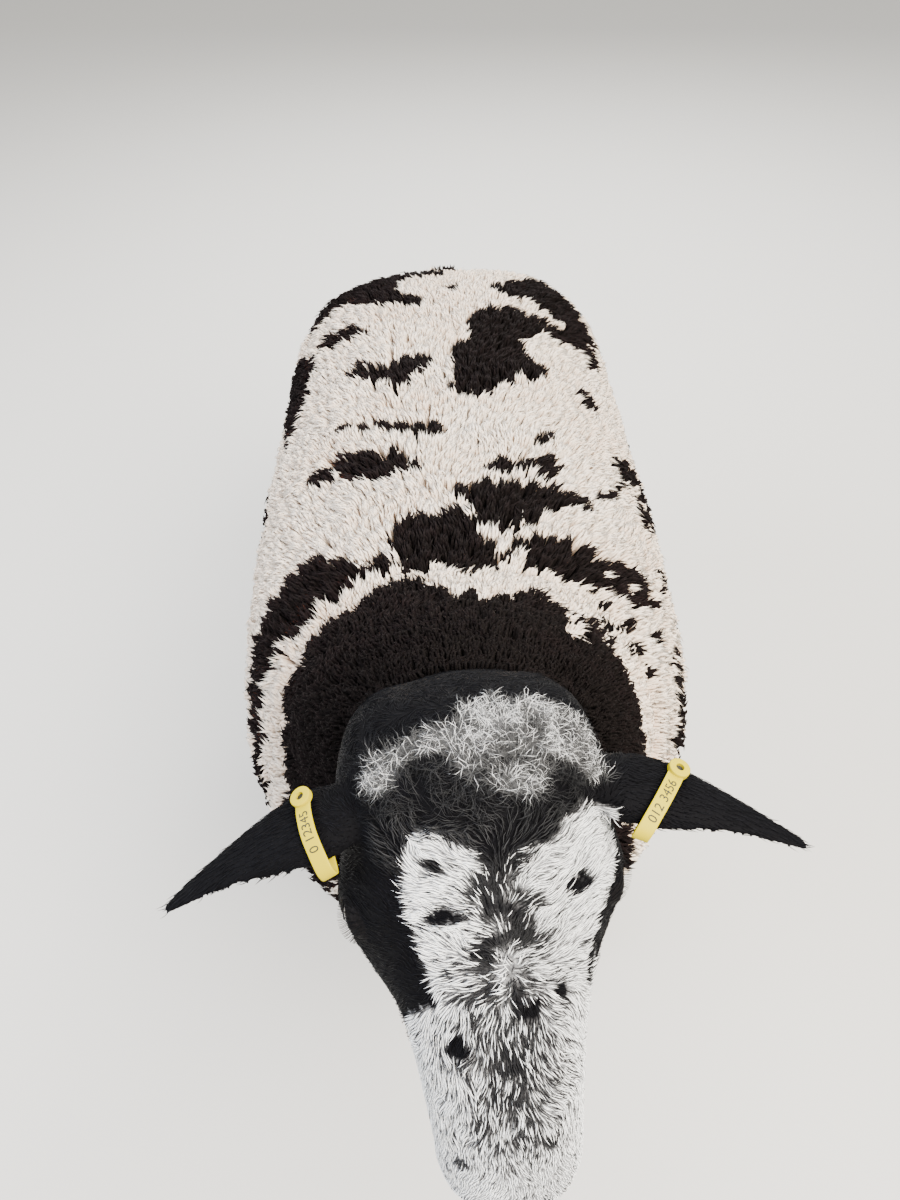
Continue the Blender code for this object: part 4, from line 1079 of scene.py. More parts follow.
def make_fleece(skin, coat):
    """All the wool, one piece to each zone: fine wisps that gather into pointed staples."""
    rng = np.random.default_rng(7)

    def wanted(points):
        return is_woolly(points, 0.004)

    def staple_pitch(points):
        return wool_pitch(points) ** 0.5 * coat.staple

    staples, staple_facing = spread(skin, wanted, staple_pitch, 4, 3.0)
    roots, facing = spread(skin, wanted, lambda points: wool_pitch(points) * coat.spacing, 5, 3.6)
    owner = nearest(roots, staples)
    depth = wool_depth(roots)
    staple_lie = wool_lie(staples, staple_facing)
    reach = 0.60 * coat.length * np.clip(wool_depth(staples) / WOOL_DEPTH, 0.3, 1.0)
    covered = staples + staple_lie * reach[:, None] + staple_facing * wool_depth(staples)[:, None]
    dark, shade = dye_staples(staples, covered, rng)
    spread_out = staples[owner] - roots
    far = np.linalg.norm(spread_out, axis=1) / staple_pitch(roots)
    # A loose wisp at the edge of its staple keeps the colour of its own place
    own_dark = dark[owner]
    loose = (far > 0.45) & (rng.random(len(roots)) < 0.25)
    own = body_dark(roots + (covered - staples)[owner])[0]
    own_dark[loose] = (own[loose] > 0.5).astype(float)
    tone = np.clip(0.30 * rng.random(len(roots)) + 0.20 * rng.random(len(staples))[owner]
                   + 0.50 * shade[owner], 0, 1)
    loose_edge = smooth_step(-0.035, 0.0, wool_ahead(roots)) * (roots[:, 2] > NECK_FLOOR)
    swing = (0.16 + 0.45 * loose_edge) * rng.standard_normal(len(roots))
    lie = turned_in_plane(staple_lie[owner], facing, swing)
    share = np.clip(depth / WOOL_DEPTH, 0.30, 1.0)
    big = (0.80 + 0.40 * rng.random(len(staples)))[owner]
    length = coat.length * big * (0.88 + 0.24 * rng.random(len(roots))) * share
    width = (coat.width * wool_pitch(roots) * (0.85 + 0.30 * rng.random(len(roots)))
             * np.clip(share, 0.7, 1))
    # Wisps at the edge of a staple stand lower, so that furrows part the staples
    rise = depth * (0.94 + 0.10 * cloud(roots, 0.030, 24)) * (1.03 - 0.34 * np.minimum(far, 1.0) ** 2)
    rise *= 0.92 + 0.16 * rng.random(len(roots))
    rise *= 0.90 + 0.14 * big
    zone = fleece_zone(roots)
    pieces = []
    for word in FLEECE_ZONES:
        k = zone == word
        if not k.any():
            raise RuntimeError("no wool grew on " + word)
        pieces.append(grow("fleece_" + word, FLEECE_TUFT, roots[k], facing[k], lie[k], length[k],
                           width[k], rise[k], coat.curl, own_dark[k], tone[k], rng,
                           spread_out[k] * coat.gather))
    return pieces


# Where the hair of the face turns, along it and to the left
WHORL = (0.131, 0.006)


def face_lie(points, facing):
    """Hair runs down the face, parts at the poll, and sweeps back over the cheeks and nape."""
    s, o, _ = head_coordinates(points)
    below, beside = (s - WHORL[0]) / 0.030, (o - WHORL[1]) / 0.022
    down = np.outer(np.clip(below, -0.62, 1.0), ALONG)
    spread_out = np.clip(beside, -1, 1) * (1.0 - 0.55 * smooth_step(-0.5, 1.5, below))
    cheek = smooth_step(0.040, 0.066, np.abs(o))
    front = down * (1 - 0.5 * cheek)[:, None] + np.outer(spread_out, OUT) - np.outer(cheek * 0.9, UP)
    beside_nape = np.sign(o) * smooth_step(0, 0.06, np.abs(o)) * 0.9
    nape = np.array((0.0, 0.55, -0.25))[None] + OUT[None] * beside_nape[:, None]
    over = smooth_step(0.004, -0.020, s)[:, None]
    lie = front * (1 - over) + nape * over
    swing = 0.75 * cloud(points, 0.013, 31) + 0.60 * cloud(points, 0.0055, 32)
    poll = smooth_step(0.055, 0.035, s) * smooth_step(0.075, 0.06, np.abs(o))
    centre = np.exp(-(below ** 2 + beside ** 2) / 0.30)
    swing = swing * (1 + 2.2 * poll) + centre * 2.4 * cloud(points, 0.0025, 35)
    return turned_in_plane(lie, facing, swing)


def bare_nose(points):
    """1 on the bare skin round the nostrils and down the cleft of the lip."""
    s, o, u = head_coordinates(points)
    cleft = (o / 0.0022) ** 2 + ((u + 0.044) / 0.017) ** 2 + ((s - HEAD_LENGTH) / 0.012) ** 2
    bridge = ((o / 0.0100) ** 2 + ((u + 0.031 + 12 * o * o) / 0.0042) ** 2
              + ((s - HEAD_LENGTH + 0.003) / 0.012) ** 2)
    bare = np.minimum(cleft, bridge)
    for side in (1, -1):
        hole, slant = nostril_line(side)
        off = points - hole
        run = off @ slant
        away = np.linalg.norm(off - np.outer(run, slant), axis=1)
        bare = np.minimum(bare, (run / 0.0132) ** 2 + (away / 0.0062) ** 2)
    return smooth_step(1.15, 0.85, bare)


# From this darkness up, hair is plain black
BLACK = 0.93
# Spacing and width of the flat tufts elsewhere, as multiples of those on the face
DARK_HAIR_SPACING, DARK_HAIR_WIDTH = 1.78, 1.12
LEG_HAIR_SPACING, LEG_HAIR_WIDTH = 2.38, 2.55


def make_face_hair(skin, hair):
    """Dense short hair on the face and the frizz of the poll, and sparser hair on the rest."""
    rng = np.random.default_rng(11)

    def clear_of_openings(points):
        clear = bare_nose(points) < 0.5
        for side in (1, -1):
            centre, level, upright, outward = eye_axes(side)
            off = points - (centre + outward * EYE_RADIUS)
            x, y = off @ level, off @ upright
            clear &= ((x / 0.0155) ** 2 + (y / 0.0112) ** 2 + ((off @ outward) / 0.02) ** 2) > 1
        s, _, u = head_coordinates(points)
        clear &= ~((np.abs(u - MOUTH_DOWN) < 0.0028) & (s > 0.213))
        return clear

    def forehead(points):
        s, o, _ = head_coordinates(points)
        lengthwise = smooth_step(0.000, 0.016, s) * smooth_step(0.078, 0.060, s)
        return lengthwise * smooth_step(0.062, 0.048, np.abs(o))

    def on_face(points):
        s, o, _ = head_coordinates(points)
        face = (s > -0.022) & (np.abs(o) < 0.086) & (wool_ahead(points) > 0.0)
        dense = (head_dark(points) < 0.90) | (forehead(points) > 0.3)
        return face & dense & clear_of_openings(points)

    def elsewhere(points):
        on_head_or_nape = (wool_ahead(points) > -0.006) & (points[:, 2] > 0.66)
        return on_head_or_nape & ~on_face(points) & clear_of_openings(points)

    def pitch(points):
        s, _, u = head_coordinates(points)
        under = smooth_step(-0.04, -0.09, u)
        black = forehead(points) * (head_dark(points) > BLACK)
        poll = smooth_step(0.048, 0.036, s) * (s > -0.03) * (1 - black)
        return hair.spacing * (1 + 0.7 * under + 0.25 * black) * (1 - 0.32 * poll)

    roots, facing = spread(skin, on_face, pitch, 12, 4.0)
    s, o, _ = head_coordinates(roots)
    poll = smooth_step(0.048, 0.036, s)
    lie = face_lie(roots, facing)
    plain = forehead(roots) * (head_dark(roots) > BLACK)
    # The frizz of the poll points every way, the black locks of the forehead less so
    lie = turned_in_plane(lie, facing, poll * (1.1 - 0.75 * plain) * rng.standard_normal(len(roots)))
    # A tuft is dyed by the place that its tip covers
    dark = head_dark(roots + lie * hair.length * 0.45)
    chance = rng.random(len(roots))
    # Painted highlight: the black locks of the forehead are lightened a little at random, as the shine
    # on them
    mixed = np.where(dark > BLACK, 1.0 - 0.034 * forehead(roots) * rng.random(len(roots)),
                     np.where(chance < dark, 0.985, 0.0))
    # The frizz of the poll is grey more than black and white
    mixed = np.where((poll > 0.5) & (dark < BLACK), 0.22 + 0.71 * mixed, mixed)
    tone = np.clip(rng.random(len(roots)) - 0.25 * poll, 0, 1)
    locks = forehead(roots) * (mixed > 0.5)
    length = hair.length * (0.75 + 0.5 * rng.random(len(roots))) * (1 + 0.30 * poll + 0.45 * locks)
    length *= 1 - 0.60 * smooth_step(0.19, 0.27, s)
    width = hair.width * (0.75 + 0.4 * rng.random(len(roots))) * (1 - 0.46 * poll)
    rise = hair.rise * (0.6 + 0.8 * rng.random(len(roots))) * (1 + 2.3 * np.maximum(poll, 0.4 * locks))
    rise *= 1 - 0.45 * smooth_step(0.19, 0.27, s)
    curl = 0.0002 + 0.0011 * np.maximum(poll, 0.5 * locks)
    pieces = []
    part = np.where(poll > 0.5, 0, np.where(o > 0, 1, 2))
    for number, word in enumerate(("poll", "left", "right")):
        k = part == number
        pieces.append(grow("face_hair_" + word, HAIR_TUFT, roots[k], facing[k], lie[k], length[k],
                           width[k], rise[k], curl[k], mixed[k], tone[k], rng))
    # The rest of the head and the nape are nearly all black, so sparser, wider tufts cover them
    roots, facing = spread(skin, elsewhere, lambda points: pitch(points) * DARK_HAIR_SPACING, 13, 3.0)
    o = head_coordinates(roots)[1]
    lie = face_lie(roots, facing)
    for side in (1, -1):
        root, run = ear_axes(side)[:2]
        t = (roots - root) @ run / EAR_LENGTH
        on_ear = (t > 0.16) & (np.abs(o) > 0.078) & (np.sign(o) == side)
        lie[on_ear] = turned_in_plane(np.repeat(run[None], on_ear.sum(), 0), facing[on_ear],
                                      0.3 * cloud(roots[on_ear], 0.008, 33))
    dark = head_dark(roots)
    dark[wool_ahead(roots) < 0.012] = 1.0
    dark = (rng.random(len(roots)) < dark).astype(float)
    length = hair.length * (0.75 + 0.5 * rng.random(len(roots)))
    rise = hair.rise * 0.36 * (0.5 + 0.6 * rng.random(len(roots)))
    pieces.append(grow("head_hair_dark", DOWN_TUFT, roots, facing, lie, length,
                       hair.width * DARK_HAIR_WIDTH, rise, 0.0002, dark, rng.random(len(roots)), rng))
    return pieces


def make_leg_hair(skin, hair):
    """Flat short hair down the shanks, in wide tufts that stand for many hairs."""
    rng = np.random.default_rng(17)
    spacing = hair.spacing * LEG_HAIR_SPACING

    def wanted(points):
        return (points[:, 2] < LEG_WOOL_END + 0.03) & (points[:, 2] > 0.058)

    roots, facing = spread(skin, wanted, lambda points: np.full(len(points), spacing), 18, 3.0)
    lie = np.zeros((len(roots), 3))
    lie[:, 1], lie[:, 2] = 0.15, -1.0
    lie = turned_in_plane(lie, facing, 0.3 * cloud(roots, 0.010, 34))
    dark = (rng.random(len(roots)) < body_dark(roots)[0]).astype(float)
    length = hair.length * 1.15 * (0.8 + 0.5 * rng.random(len(roots)))
    return [grow("leg_hair", DOWN_TUFT, roots, facing, lie, length, hair.width * LEG_HAIR_WIDTH,
                 hair.rise * 0.8, 0.0002, dark, rng.random(len(roots)), rng)]


def skin_markings(thing):
    """Give the hide its markings, and say where it is woolly and where bare."""
    points = mesh_points(thing)
    write_attribute(thing.data, "dark", all_dark(points))
    woolly = smooth_step(0.006, -0.010, wool_ahead(points))
    woolly *= smooth_step(LEG_WOOL_END - 0.005, LEG_WOOL_END + 0.02, points[:, 2])
    write_attribute(thing.data, "woolly", woolly)
    s, _, u = head_coordinates(points)
    mouth = smooth_step(0.0045, 0.0020, np.abs(u - MOUTH_DOWN)) * smooth_step(0.208, 0.216, s)
    bare = np.maximum(bare_nose(points), mouth)
    for side in (1, -1):
        away = np.linalg.norm(points - eye_axes(side)[0], axis=1)
        bare = np.maximum(bare, smooth_step(0.0180, 0.0145, away))
    write_attribute(thing.data, "bare", bare)


def colour(code):
    """A linear colour from an sRGB hex code."""
    parts = [int(code[k:k + 2], 16) / 255 for k in (1, 3, 5)]
    return tuple(v / 12.92 if v <= 0.04045 else ((v + 0.055) / 1.055) ** 2.4 for v in parts) + (1.0,)


def add_node(tree, kind, inputs=None, output=0, stops=(), **settings):
    """Add a shader node, set it up, feed its inputs by name or number, and give one output."""
    made = tree.nodes.new("ShaderNode" + kind)
    for key, value in settings.items():
        setattr(made, key, value)
    for key, value in (inputs or {}).items():
        if isinstance(value, bpy.types.NodeSocket):
            tree.links.new(value, made.inputs[key])
        else:
            made.inputs[key].default_value = value
    if stops:
        band = made.color_ramp
        while len(band.elements) < len(stops):
            band.elements.new(0.5)
        for element, (place, code) in zip(band.elements, stops):
            element.position, element.color = place, colour(code)
    return made.outputs[output]


def new_material(name, **surface):
    """A material, its tree and its Principled shader, whose own sockets hold the constants."""
    made = bpy.data.materials.new(name)
    made.use_nodes = True
    shader = made.node_tree.nodes["Principled BSDF"]
    for key, value in surface.items():
        shader.inputs[key.replace("_", " ")].default_value = value
    return made, made.node_tree, shader


def lumps_per_metre(size_mm):
    """The scale of a noise whose lumps are about this many millimetres across."""
    return round(1000 / size_mm, -2)


# The wool's pattern in millimetres. A real crimp is 2 to 3 mm long and a real fibre 0.03 mm thick.
# Both are drawn coarser, because each wisp stands for many fibres and finer lines wouldn't show.
WISP_LENGTH_MM = 36.6
CRIMP_MM = 5.0
WISP_HALF_WIDTH_MM = 2.0
FIBRE_BUNDLE_MM = 0.97
WOOL_FUZZ_MM = 1.1
# The skin's pattern: the gaps between lying hairs, and their strands, drawn as clumps of hairs
NAP_MM = 1.4
STRAND_MM = 0.67
# Ripples of the horn. The wave texture repeats every 2 pi / 20 of its own unit.
HORN_RING_MM = 5.07
WAVE_UNIT = 2 * math.pi / 20
# The pupil is a level bar with rounded corners: half its length and height, as shares of the iris
PUPIL_HALF_LENGTH = 0.62
PUPIL_HALF_HEIGHT = 0.27


def wool_material():
    """Sheep's wool: matt, crimped, cream with painted peach shade in its depth, or near-black with
    brown tips, partly bleached by weather and partly painted light.

    The ramps paint shade at the root and light at the tip, the bump gives fibres and crimp, and
    light that passes through the wisps lets the wool glow softly instead of casting hard shade.
    """
    made, tree, shader = new_material("sheep wool", Roughness=0.90, Specular_IOR_Level=0.05,
                                      Sheen_Roughness=0.45, Sheen_Tint=colour("#FFF4E6"))
    along, tone, dark, breadth = (add_node(tree, "Attribute", output="Fac", attribute_name=name)
                                  for name in ("along", "tone", "dark", "breadth"))
    # Painted shade: each wisp darkens towards its root, where the wisps shade each other, and lightens
    # towards its lit tip
    out = add_node(tree, "Math", {0: along, 1: 0.66}, operation="MULTIPLY")
    deep = add_node(tree, "Math", {0: tone, 1: 0.36, 2: out}, operation="MULTIPLY_ADD")
    pale = add_node(tree, "ValToRGB", {"Fac": deep}, stops=(
        (0.0, "#C79A78"), (0.28, "#E8CBB0"), (0.58, "#F8EBDB"), (1.0, "#FFFAF0")))
    brown = add_node(tree, "ValToRGB", {"Fac": deep}, stops=(
        (0.0, "#060404"), (0.45, "#0E0A0A"), (0.84, "#1F1516"), (1.0, "#7C4229")))
    base = add_node(tree, "Mix", {0: dark, 6: pale, 7: brown}, 2, data_type="RGBA")
    tree.links.new(base, shader.inputs["Base Color"])
    # Fibres run along each wisp and crimps across it, out of step from wisp to wisp
    lines = []
    for way, turns, apart in ((breadth, round(2 * math.pi * WISP_HALF_WIDTH_MM / FIBRE_BUNDLE_MM), 40.0),
                              (along, round(2 * math.pi * WISP_LENGTH_MM / CRIMP_MM), 60.0)):
        phase = add_node(tree, "Math", {0: tone, 1: apart}, operation="MULTIPLY")
        turned = add_node(tree, "Math", {0: way, 1: turns, 2: phase}, operation="MULTIPLY_ADD")
        lines.append(add_node(tree, "Math", {0: turned}, operation="SINE"))
    place = add_node(tree, "TexCoord", output="Object")
    fuzz = add_node(tree, "TexNoise", {"Vector": place, "Scale": lumps_per_metre(WOOL_FUZZ_MM),
                                       "Detail": 3.0}, "Fac")
    height = add_node(tree, "Math", {0: lines[1], 1: 0.35, 2: fuzz}, operation="MULTIPLY_ADD")
    height = add_node(tree, "Math", {0: lines[0], 1: 0.30, 2: height}, operation="MULTIPLY_ADD")
    bump = add_node(tree, "Bump", {"Strength": 0.75, "Distance": 0.0009, "Height": height})
    tree.links.new(bump, shader.inputs["Normal"])
    # A faint sheen softens the outline of the white wool, and dark wool has hardly any
    sheen = add_node(tree, "Math", {0: dark, 1: -0.29, 2: 0.30}, operation="MULTIPLY_ADD")
    tree.links.new(sheen, shader.inputs["Sheen Weight"])
    through = add_node(tree, "BsdfTranslucent", {"Color": base})
    joined = add_node(tree, "MixShader", {0: 0.30, 1: shader.outputs["BSDF"], 2: through})
    tree.links.new(joined, tree.nodes["Material Output"].inputs["Surface"])
    return made


def hair_material():
    """Short lying hair: white, painted grey at the roots as shade, or black with a painted cold sky
    cast; a dull shine.
    """
    made, tree, shader = new_material("short sheep hair", Roughness=0.55, Specular_IOR_Level=0.04)
    along, tone, dark = (add_node(tree, "Attribute", output="Fac", attribute_name=name)
                         for name in ("along", "tone", "dark"))
    # Painted shade: every tuft darkens towards its root, where the hairs shade each other
    out = add_node(tree, "Math", {0: along, 1: 0.70}, operation="MULTIPLY")
    deep = add_node(tree, "Math", {0: tone, 1: 0.35, 2: out}, operation="MULTIPLY_ADD")
    white = add_node(tree, "ValToRGB", {"Fac": deep}, stops=(
        (0.0, "#6A6C6E"), (0.30, "#B9BBBC"), (0.65, "#EAECEC"), (1.0, "#FBFDFD")))
    # The faint blue of the black is a painted cast of the sky light
    black = add_node(tree, "ValToRGB", {"Fac": deep}, stops=(
        (0.0, "#030304"), (0.5, "#070709"), (1.0, "#101115")))
    base = add_node(tree, "Mix", {0: dark, 6: white, 7: black}, 2, data_type="RGBA")
    tree.links.new(base, shader.inputs["Base Color"])
    return made


def skin_material():
    """The hide under short hair or wool, and bare black skin round the nostrils, mouth and lids.

    Noise in the size of the lying hairs mottles every colour, and finer noise raises them, so that
    the skin between the tufts reads as more hair. Bare skin is smoother, and looks moist.
    """
    made, tree, shader = new_material("haired sheep skin", Roughness=0.70, Specular_IOR_Level=0.04)
    dark, woolly, bare = (add_node(tree, "Attribute", output="Fac", attribute_name=name)
                          for name in ("dark", "woolly", "bare"))
    place = add_node(tree, "TexCoord", output="Object")
    nap = add_node(tree, "TexNoise", {"Vector": place, "Scale": lumps_per_metre(NAP_MM), "Detail": 4.0},
                   "Fac")
    # Painted shade: under the wool the hide is coloured as wool in shade, tan under white wool and
    # near-black under dark; the faint blue of the black under short hair is a painted cast of the sky
    hair_pale, hair_dark, wool_pale, wool_dark, naked = (
        add_node(tree, "ValToRGB", {"Fac": nap}, stops=stops) for stops in (
            ((0.25, "#454648"), (0.55, "#848587"), (0.80, "#BFC0C2")),
            ((0.25, "#020203"), (0.60, "#050507"), (0.85, "#0B0B0E")),
            ((0.2, "#A5806A"), (0.8, "#C6A68F")),
            ((0.2, "#080605"), (0.8, "#15100E")),
            ((0.35, "#080707"), (0.60, "#110F0F"), (0.78, "#1E1A1A"))))
    haired = add_node(tree, "Mix", {0: dark, 6: hair_pale, 7: hair_dark}, 2, data_type="RGBA")
    woollen = add_node(tree, "Mix", {0: dark, 6: wool_pale, 7: wool_dark}, 2, data_type="RGBA")
    covered = add_node(tree, "Mix", {0: woolly, 6: haired, 7: woollen}, 2, data_type="RGBA")
    base = add_node(tree, "Mix", {0: bare, 6: covered, 7: naked}, 2, data_type="RGBA")
    tree.links.new(base, shader.inputs["Base Color"])
    rough = add_node(tree, "Math", {0: bare, 1: -0.28, 2: 0.72}, operation="MULTIPLY_ADD")
    tree.links.new(rough, shader.inputs["Roughness"])
    strands = add_node(tree, "TexNoise", {"Vector": place, "Scale": lumps_per_metre(STRAND_MM),
                                          "Detail": 2.0}, "Fac")
    bump = add_node(tree, "Bump", {"Strength": 0.5, "Distance": 0.0006, "Height": strands})
    tree.links.new(bump, shader.inputs["Normal"])
    return made


def eye_material():
    """A wet eye: a brown iris, darker at its rim, round a level black pupil, under a clear gloss."""
    made, tree, shader = new_material("wet eye", Roughness=0.06, IOR=1.38, Specular_IOR_Level=0.30)
    level, upright = (add_node(tree, "Attribute", output="Fac", attribute_name=name)
                      for name in ("level", "upright"))
    square = add_node(tree, "Math", {0: upright, 1: upright}, operation="MULTIPLY")
    square = add_node(tree, "Math", {0: level, 1: level, 2: square}, operation="MULTIPLY_ADD")
    far = add_node(tree, "Math", {0: square}, operation="SQRT")
    iris = add_node(tree, "ValToRGB", {"Fac": far}, stops=(
        (0.0, "#140D07"), (0.35, "#2C1E10"), (0.62, "#3F2D18"), (0.80, "#1F150B"), (0.90, "#0A0605"),
        (1.0, "#0D0A0A")))
    parts = []
    for way, half in ((level, PUPIL_HALF_LENGTH), (upright, PUPIL_HALF_HEIGHT)):
        part = add_node(tree, "Math", {0: way, 1: half}, operation="DIVIDE")
        part = add_node(tree, "Math", {0: part}, operation="ABSOLUTE")
        parts.append(add_node(tree, "Math", {0: part, 1: 4.0}, operation="POWER"))
    inside = add_node(tree, "Math", {0: parts[0], 1: parts[1]}, operation="ADD")
    pupil = add_node(tree, "ValToRGB", {"Fac": inside}, stops=((0.85, "#FFFFFF"), (1.0, "#000000")))
    base = add_node(tree, "Mix", {0: pupil, 6: iris, 7: colour("#020203")}, 2, data_type="RGBA")
    tree.links.new(base, shader.inputs["Base Color"])
    return made


def horn_material():
    """Dark hoof horn: dull, its growth rings barely lighter and darker and barely raised."""
    made, tree, shader = new_material("hoof horn", Roughness=0.5)
    place = add_node(tree, "TexCoord", output="Object")
    rings = add_node(tree, "TexWave", {"Vector": place, "Scale": round(WAVE_UNIT * 1000 / HORN_RING_MM),
                                       "Distortion": 6.5, "Detail": 3.0, "Detail Scale": 1.6}, "Fac",
                     bands_direction="Z")
    base = add_node(tree, "ValToRGB", {"Fac": rings}, stops=(
        (0.0, "#1D1713"), (0.6, "#201A15"), (1.0, "#241D18")))
    tree.links.new(base, shader.inputs["Base Color"])
    bump = add_node(tree, "Bump", {"Strength": 0.08, "Distance": 0.0005, "Height": rings})
    tree.links.new(bump, shader.inputs["Normal"])
    return made


def dress(thing, material):
    """Give a thing one material."""
    thing.data.materials.clear()
    thing.data.materials.append(material)
    return thing


def smooth_shaded(thing, edge_degrees=None):
    """Shade a thing smoothly, but for the edges sharper than the given angle."""
    activate(thing)
    if edge_degrees is None:
        bpy.ops.object.shade_smooth()
    else:
        bpy.ops.object.shade_smooth_by_angle(angle=math.radians(edge_degrees))
    return thing


def make_eye(side, word):
    """The ball of an eye, with its iris and pupil measured out for the material."""
    centre, level, upright, outward = eye_axes(side)
    eye = ball("eye_globe_" + word, centre, [EYE_RADIUS - 0.0001] * 3, 64, 48, (level, upright, outward))
    off = mesh_points(eye) - centre
    # The pupil keeps level with the ground more than the lids do
    ground = np.cross(np.array((0.0, 0.0, 1.0)), outward)
    ground *= np.sign(ground @ level) / np.linalg.norm(ground)
    flat_way = level * 0.35 + ground * 0.65
    flat_way = unit(flat_way - outward * (flat_way @ outward))
    x, y, z = off @ flat_way, off @ np.cross(outward, flat_way), off @ outward
    for key, values in (("level", x / IRIS_RADIUS), ("upright", y / IRIS_RADIUS)):
        write_attribute(eye.data, key, np.where(z > 0, values, 2.0))
    return smooth_shaded(eye)


def swept(name, path, side_way, half_width, half_thick, corner=0.35):
    """A flat band along a path of points, with eased corners, closed at its ends."""
    path = np.asarray(path, float)
    rings = []
    for place, forward in zip(path, unit_rows(np.gradient(path, axis=0))):
        across = unit(side_way - forward * (side_way @ forward))
        thick = np.cross(forward, across)
        ring = []
        for a in ring_angles(16):
            u, v = math.cos(a), math.sin(a)
            u, v = math.copysign(abs(u) ** corner, u), math.copysign(abs(v) ** corner, v)
            ring.append(place + across * (u * half_width) + thick * (v * half_thick))
        rings.append(ring)
    return loft(name, rings)


def make_lids(side, word):
    """The rims of the lids: two soft rolls that meet at the corners and lie on the eye."""
    centre, level, upright, outward = eye_axes(side)
    angles = [math.pi * k / 40 for k in range(41)]
    u, v = np.cos(ring_angles(12)), np.sin(ring_angles(12))
    made = None
    # The upper lid arches higher and is thicker than the lower one
    for arch, thick in ((0.0066, 0.0013), (-0.0062, 0.0010)):
        points = []
        for a in angles:
            x, y = 0.0128 * math.cos(a), arch * math.sin(a) ** 0.9
            z = math.sqrt(max((EYE_RADIUS + 0.0005) ** 2 - x * x - y * y, 0.0))
            points.append(centre + level * x + upright * y + outward * z)
        path = np.array(points)
        rings = []
        for a, place, forward in zip(angles, path, unit_rows(np.gradient(path, axis=0))):
            away = unit(place - centre)
            swell = thick * (0.45 + 0.55 * math.sin(a))
            rings.append(place + np.outer(u * swell, away)
                         + np.outer(v * swell * 1.25, np.cross(forward, away)))
        roll = loft("lid_roll", rings)
        made = roll if made is None else combine(made, roll)
    made.name = "lids_" + word
    return smooth_shaded(made)


def make_lashes(side, word):
    """A row of stiff dark lashes along the upper lid, longest at its middle."""
    centre, level, upright, outward = eye_axes(side)
    count, half_length = 46, 0.0126
    rng = np.random.default_rng(40 + side)
    turned = np.pi * (np.linspace(0.08, 0.92, count) + 0.006 * rng.standard_normal(count))
    x, y = half_length * np.cos(turned), 0.0080 * np.sin(turned) ** 0.9
    z = np.sqrt(np.maximum((EYE_RADIUS + 0.0018) ** 2 - x * x - y * y, 0))
    roots = centre + np.outer(x, level) + np.outer(y, upright) + np.outer(z, outward)
    ahead, beside = np.outer(np.ones(count), outward * 0.8), np.outer(x / half_length * 0.3, level)
    facing = unit_rows(ahead + beside + upright * 0.45)
    lie = np.outer(np.ones(count), -upright) + np.outer(x / half_length * 0.5, level)
    lie = turned_in_plane(lie, facing, 0.15 * rng.standard_normal(count))
    size = 0.6 + 0.4 * np.sin(turned)
    return grow("lashes_" + word, HAIR_TUFT, roots, facing, lie, 0.0034 * size, 0.00036, 0.0052 * size,
                0.0, np.full(count, 1.0), rng.random(count), rng)


def make_claw(name, rows, side, step, claw_side):
    """One claw of a cloven hoof, flat below, with faint rings up its wall."""
    z, y, x, deep, wide = rows[-1]
    middle = np.array((side * x, y + step, 0.0))
    rings = []
    for f in np.linspace(0, 1, 12):
        toe = CLAW_TOE + (deep - CLAW_TOE) * f
        heel = CLAW_HEEL + (deep - CLAW_HEEL) * f
        half = CLAW_HALF_WIDTH + 0.0012 * math.sin(math.pi * f) + (wide - CLAW_HALF_WIDTH) * f
        half += 0.00025 * math.sin(f * 34) * math.sin(math.pi * f)
        ring = []
        for i in range(29):
            turned = math.pi * (i / 28 - 0.5)
            along = math.sin(turned)
            dy = along * (heel if along > 0 else toe) - 0.010 * (1 - f)
            out = CLEFT_HALF_WIDTH + (half - CLEFT_HALF_WIDTH) * math.cos(turned) ** 0.75
            height = (z - 0.0003 - FOOT_SLOPE * dy) * f
            ring.append(middle + np.array((claw_side * out, dy, height)))
        rings.append(ring)
    return smooth_shaded(loft(name, rings), 40)


def tag_frame(side):
    """Where a tag sits on its ear, its directions, and the path that its strap takes."""
    root, run, back, wide = ear_axes(side)
    front = wide if wide @ ALONG > 0 else -wide
    middle = root + run * TAG_ALONG[side]
    reach = front + run * TAG_SLANT[side]
    rows = blend_rows(EAR, 8)

    def faces(p):
        t = (TAG_ALONG[side] + TAG_SLANT[side] * p) / EAR_LENGTH
        _, half, bow, hollow = rows[np.argmin(np.abs(rows[:, 0] - t))]
        base = EAR_SAG * math.sin(math.pi * t) - 0.6 * bow
        fill = math.sqrt(max(0.0, 1.0 - (p / half) ** 2))
        return base + bow * fill, base + hollow * fill, base, half

    base, half = faces(0.0)[2:]
    path = [(faces(p)[0] + TAG_CLEARANCE, p) for p in (-TAG_BACK, 0.0, 0.45 * half, 0.8 * half)]
    path += [(base + TAG_DROP / 2, half + TAG_RIM), (base - TAG_DROP / 2, half + TAG_RIM)]
    path += [(faces(p)[1] - TAG_DROP, p) for p in (0.8 * half, 0.3 * half, -TAG_BACK)]
    return middle, run, back, reach, path, faces


def rod(name, base, normal, radius, height):
    """A round rod that stands on its base along a direction."""
    deselect()
    bpy.ops.mesh.primitive_cylinder_add(vertices=48, radius=radius, depth=height)
    thing = bpy.context.object
    thing.name = name
    normal = Vector(normal)
    turn = normal.to_track_quat("Z", "Y").to_matrix().to_4x4()
    middle = Vector(np.asarray(base) + SHIFT) + normal * (height / 2)
    thing.data.transform(Matrix.Translation(middle) @ turn)
    return thing


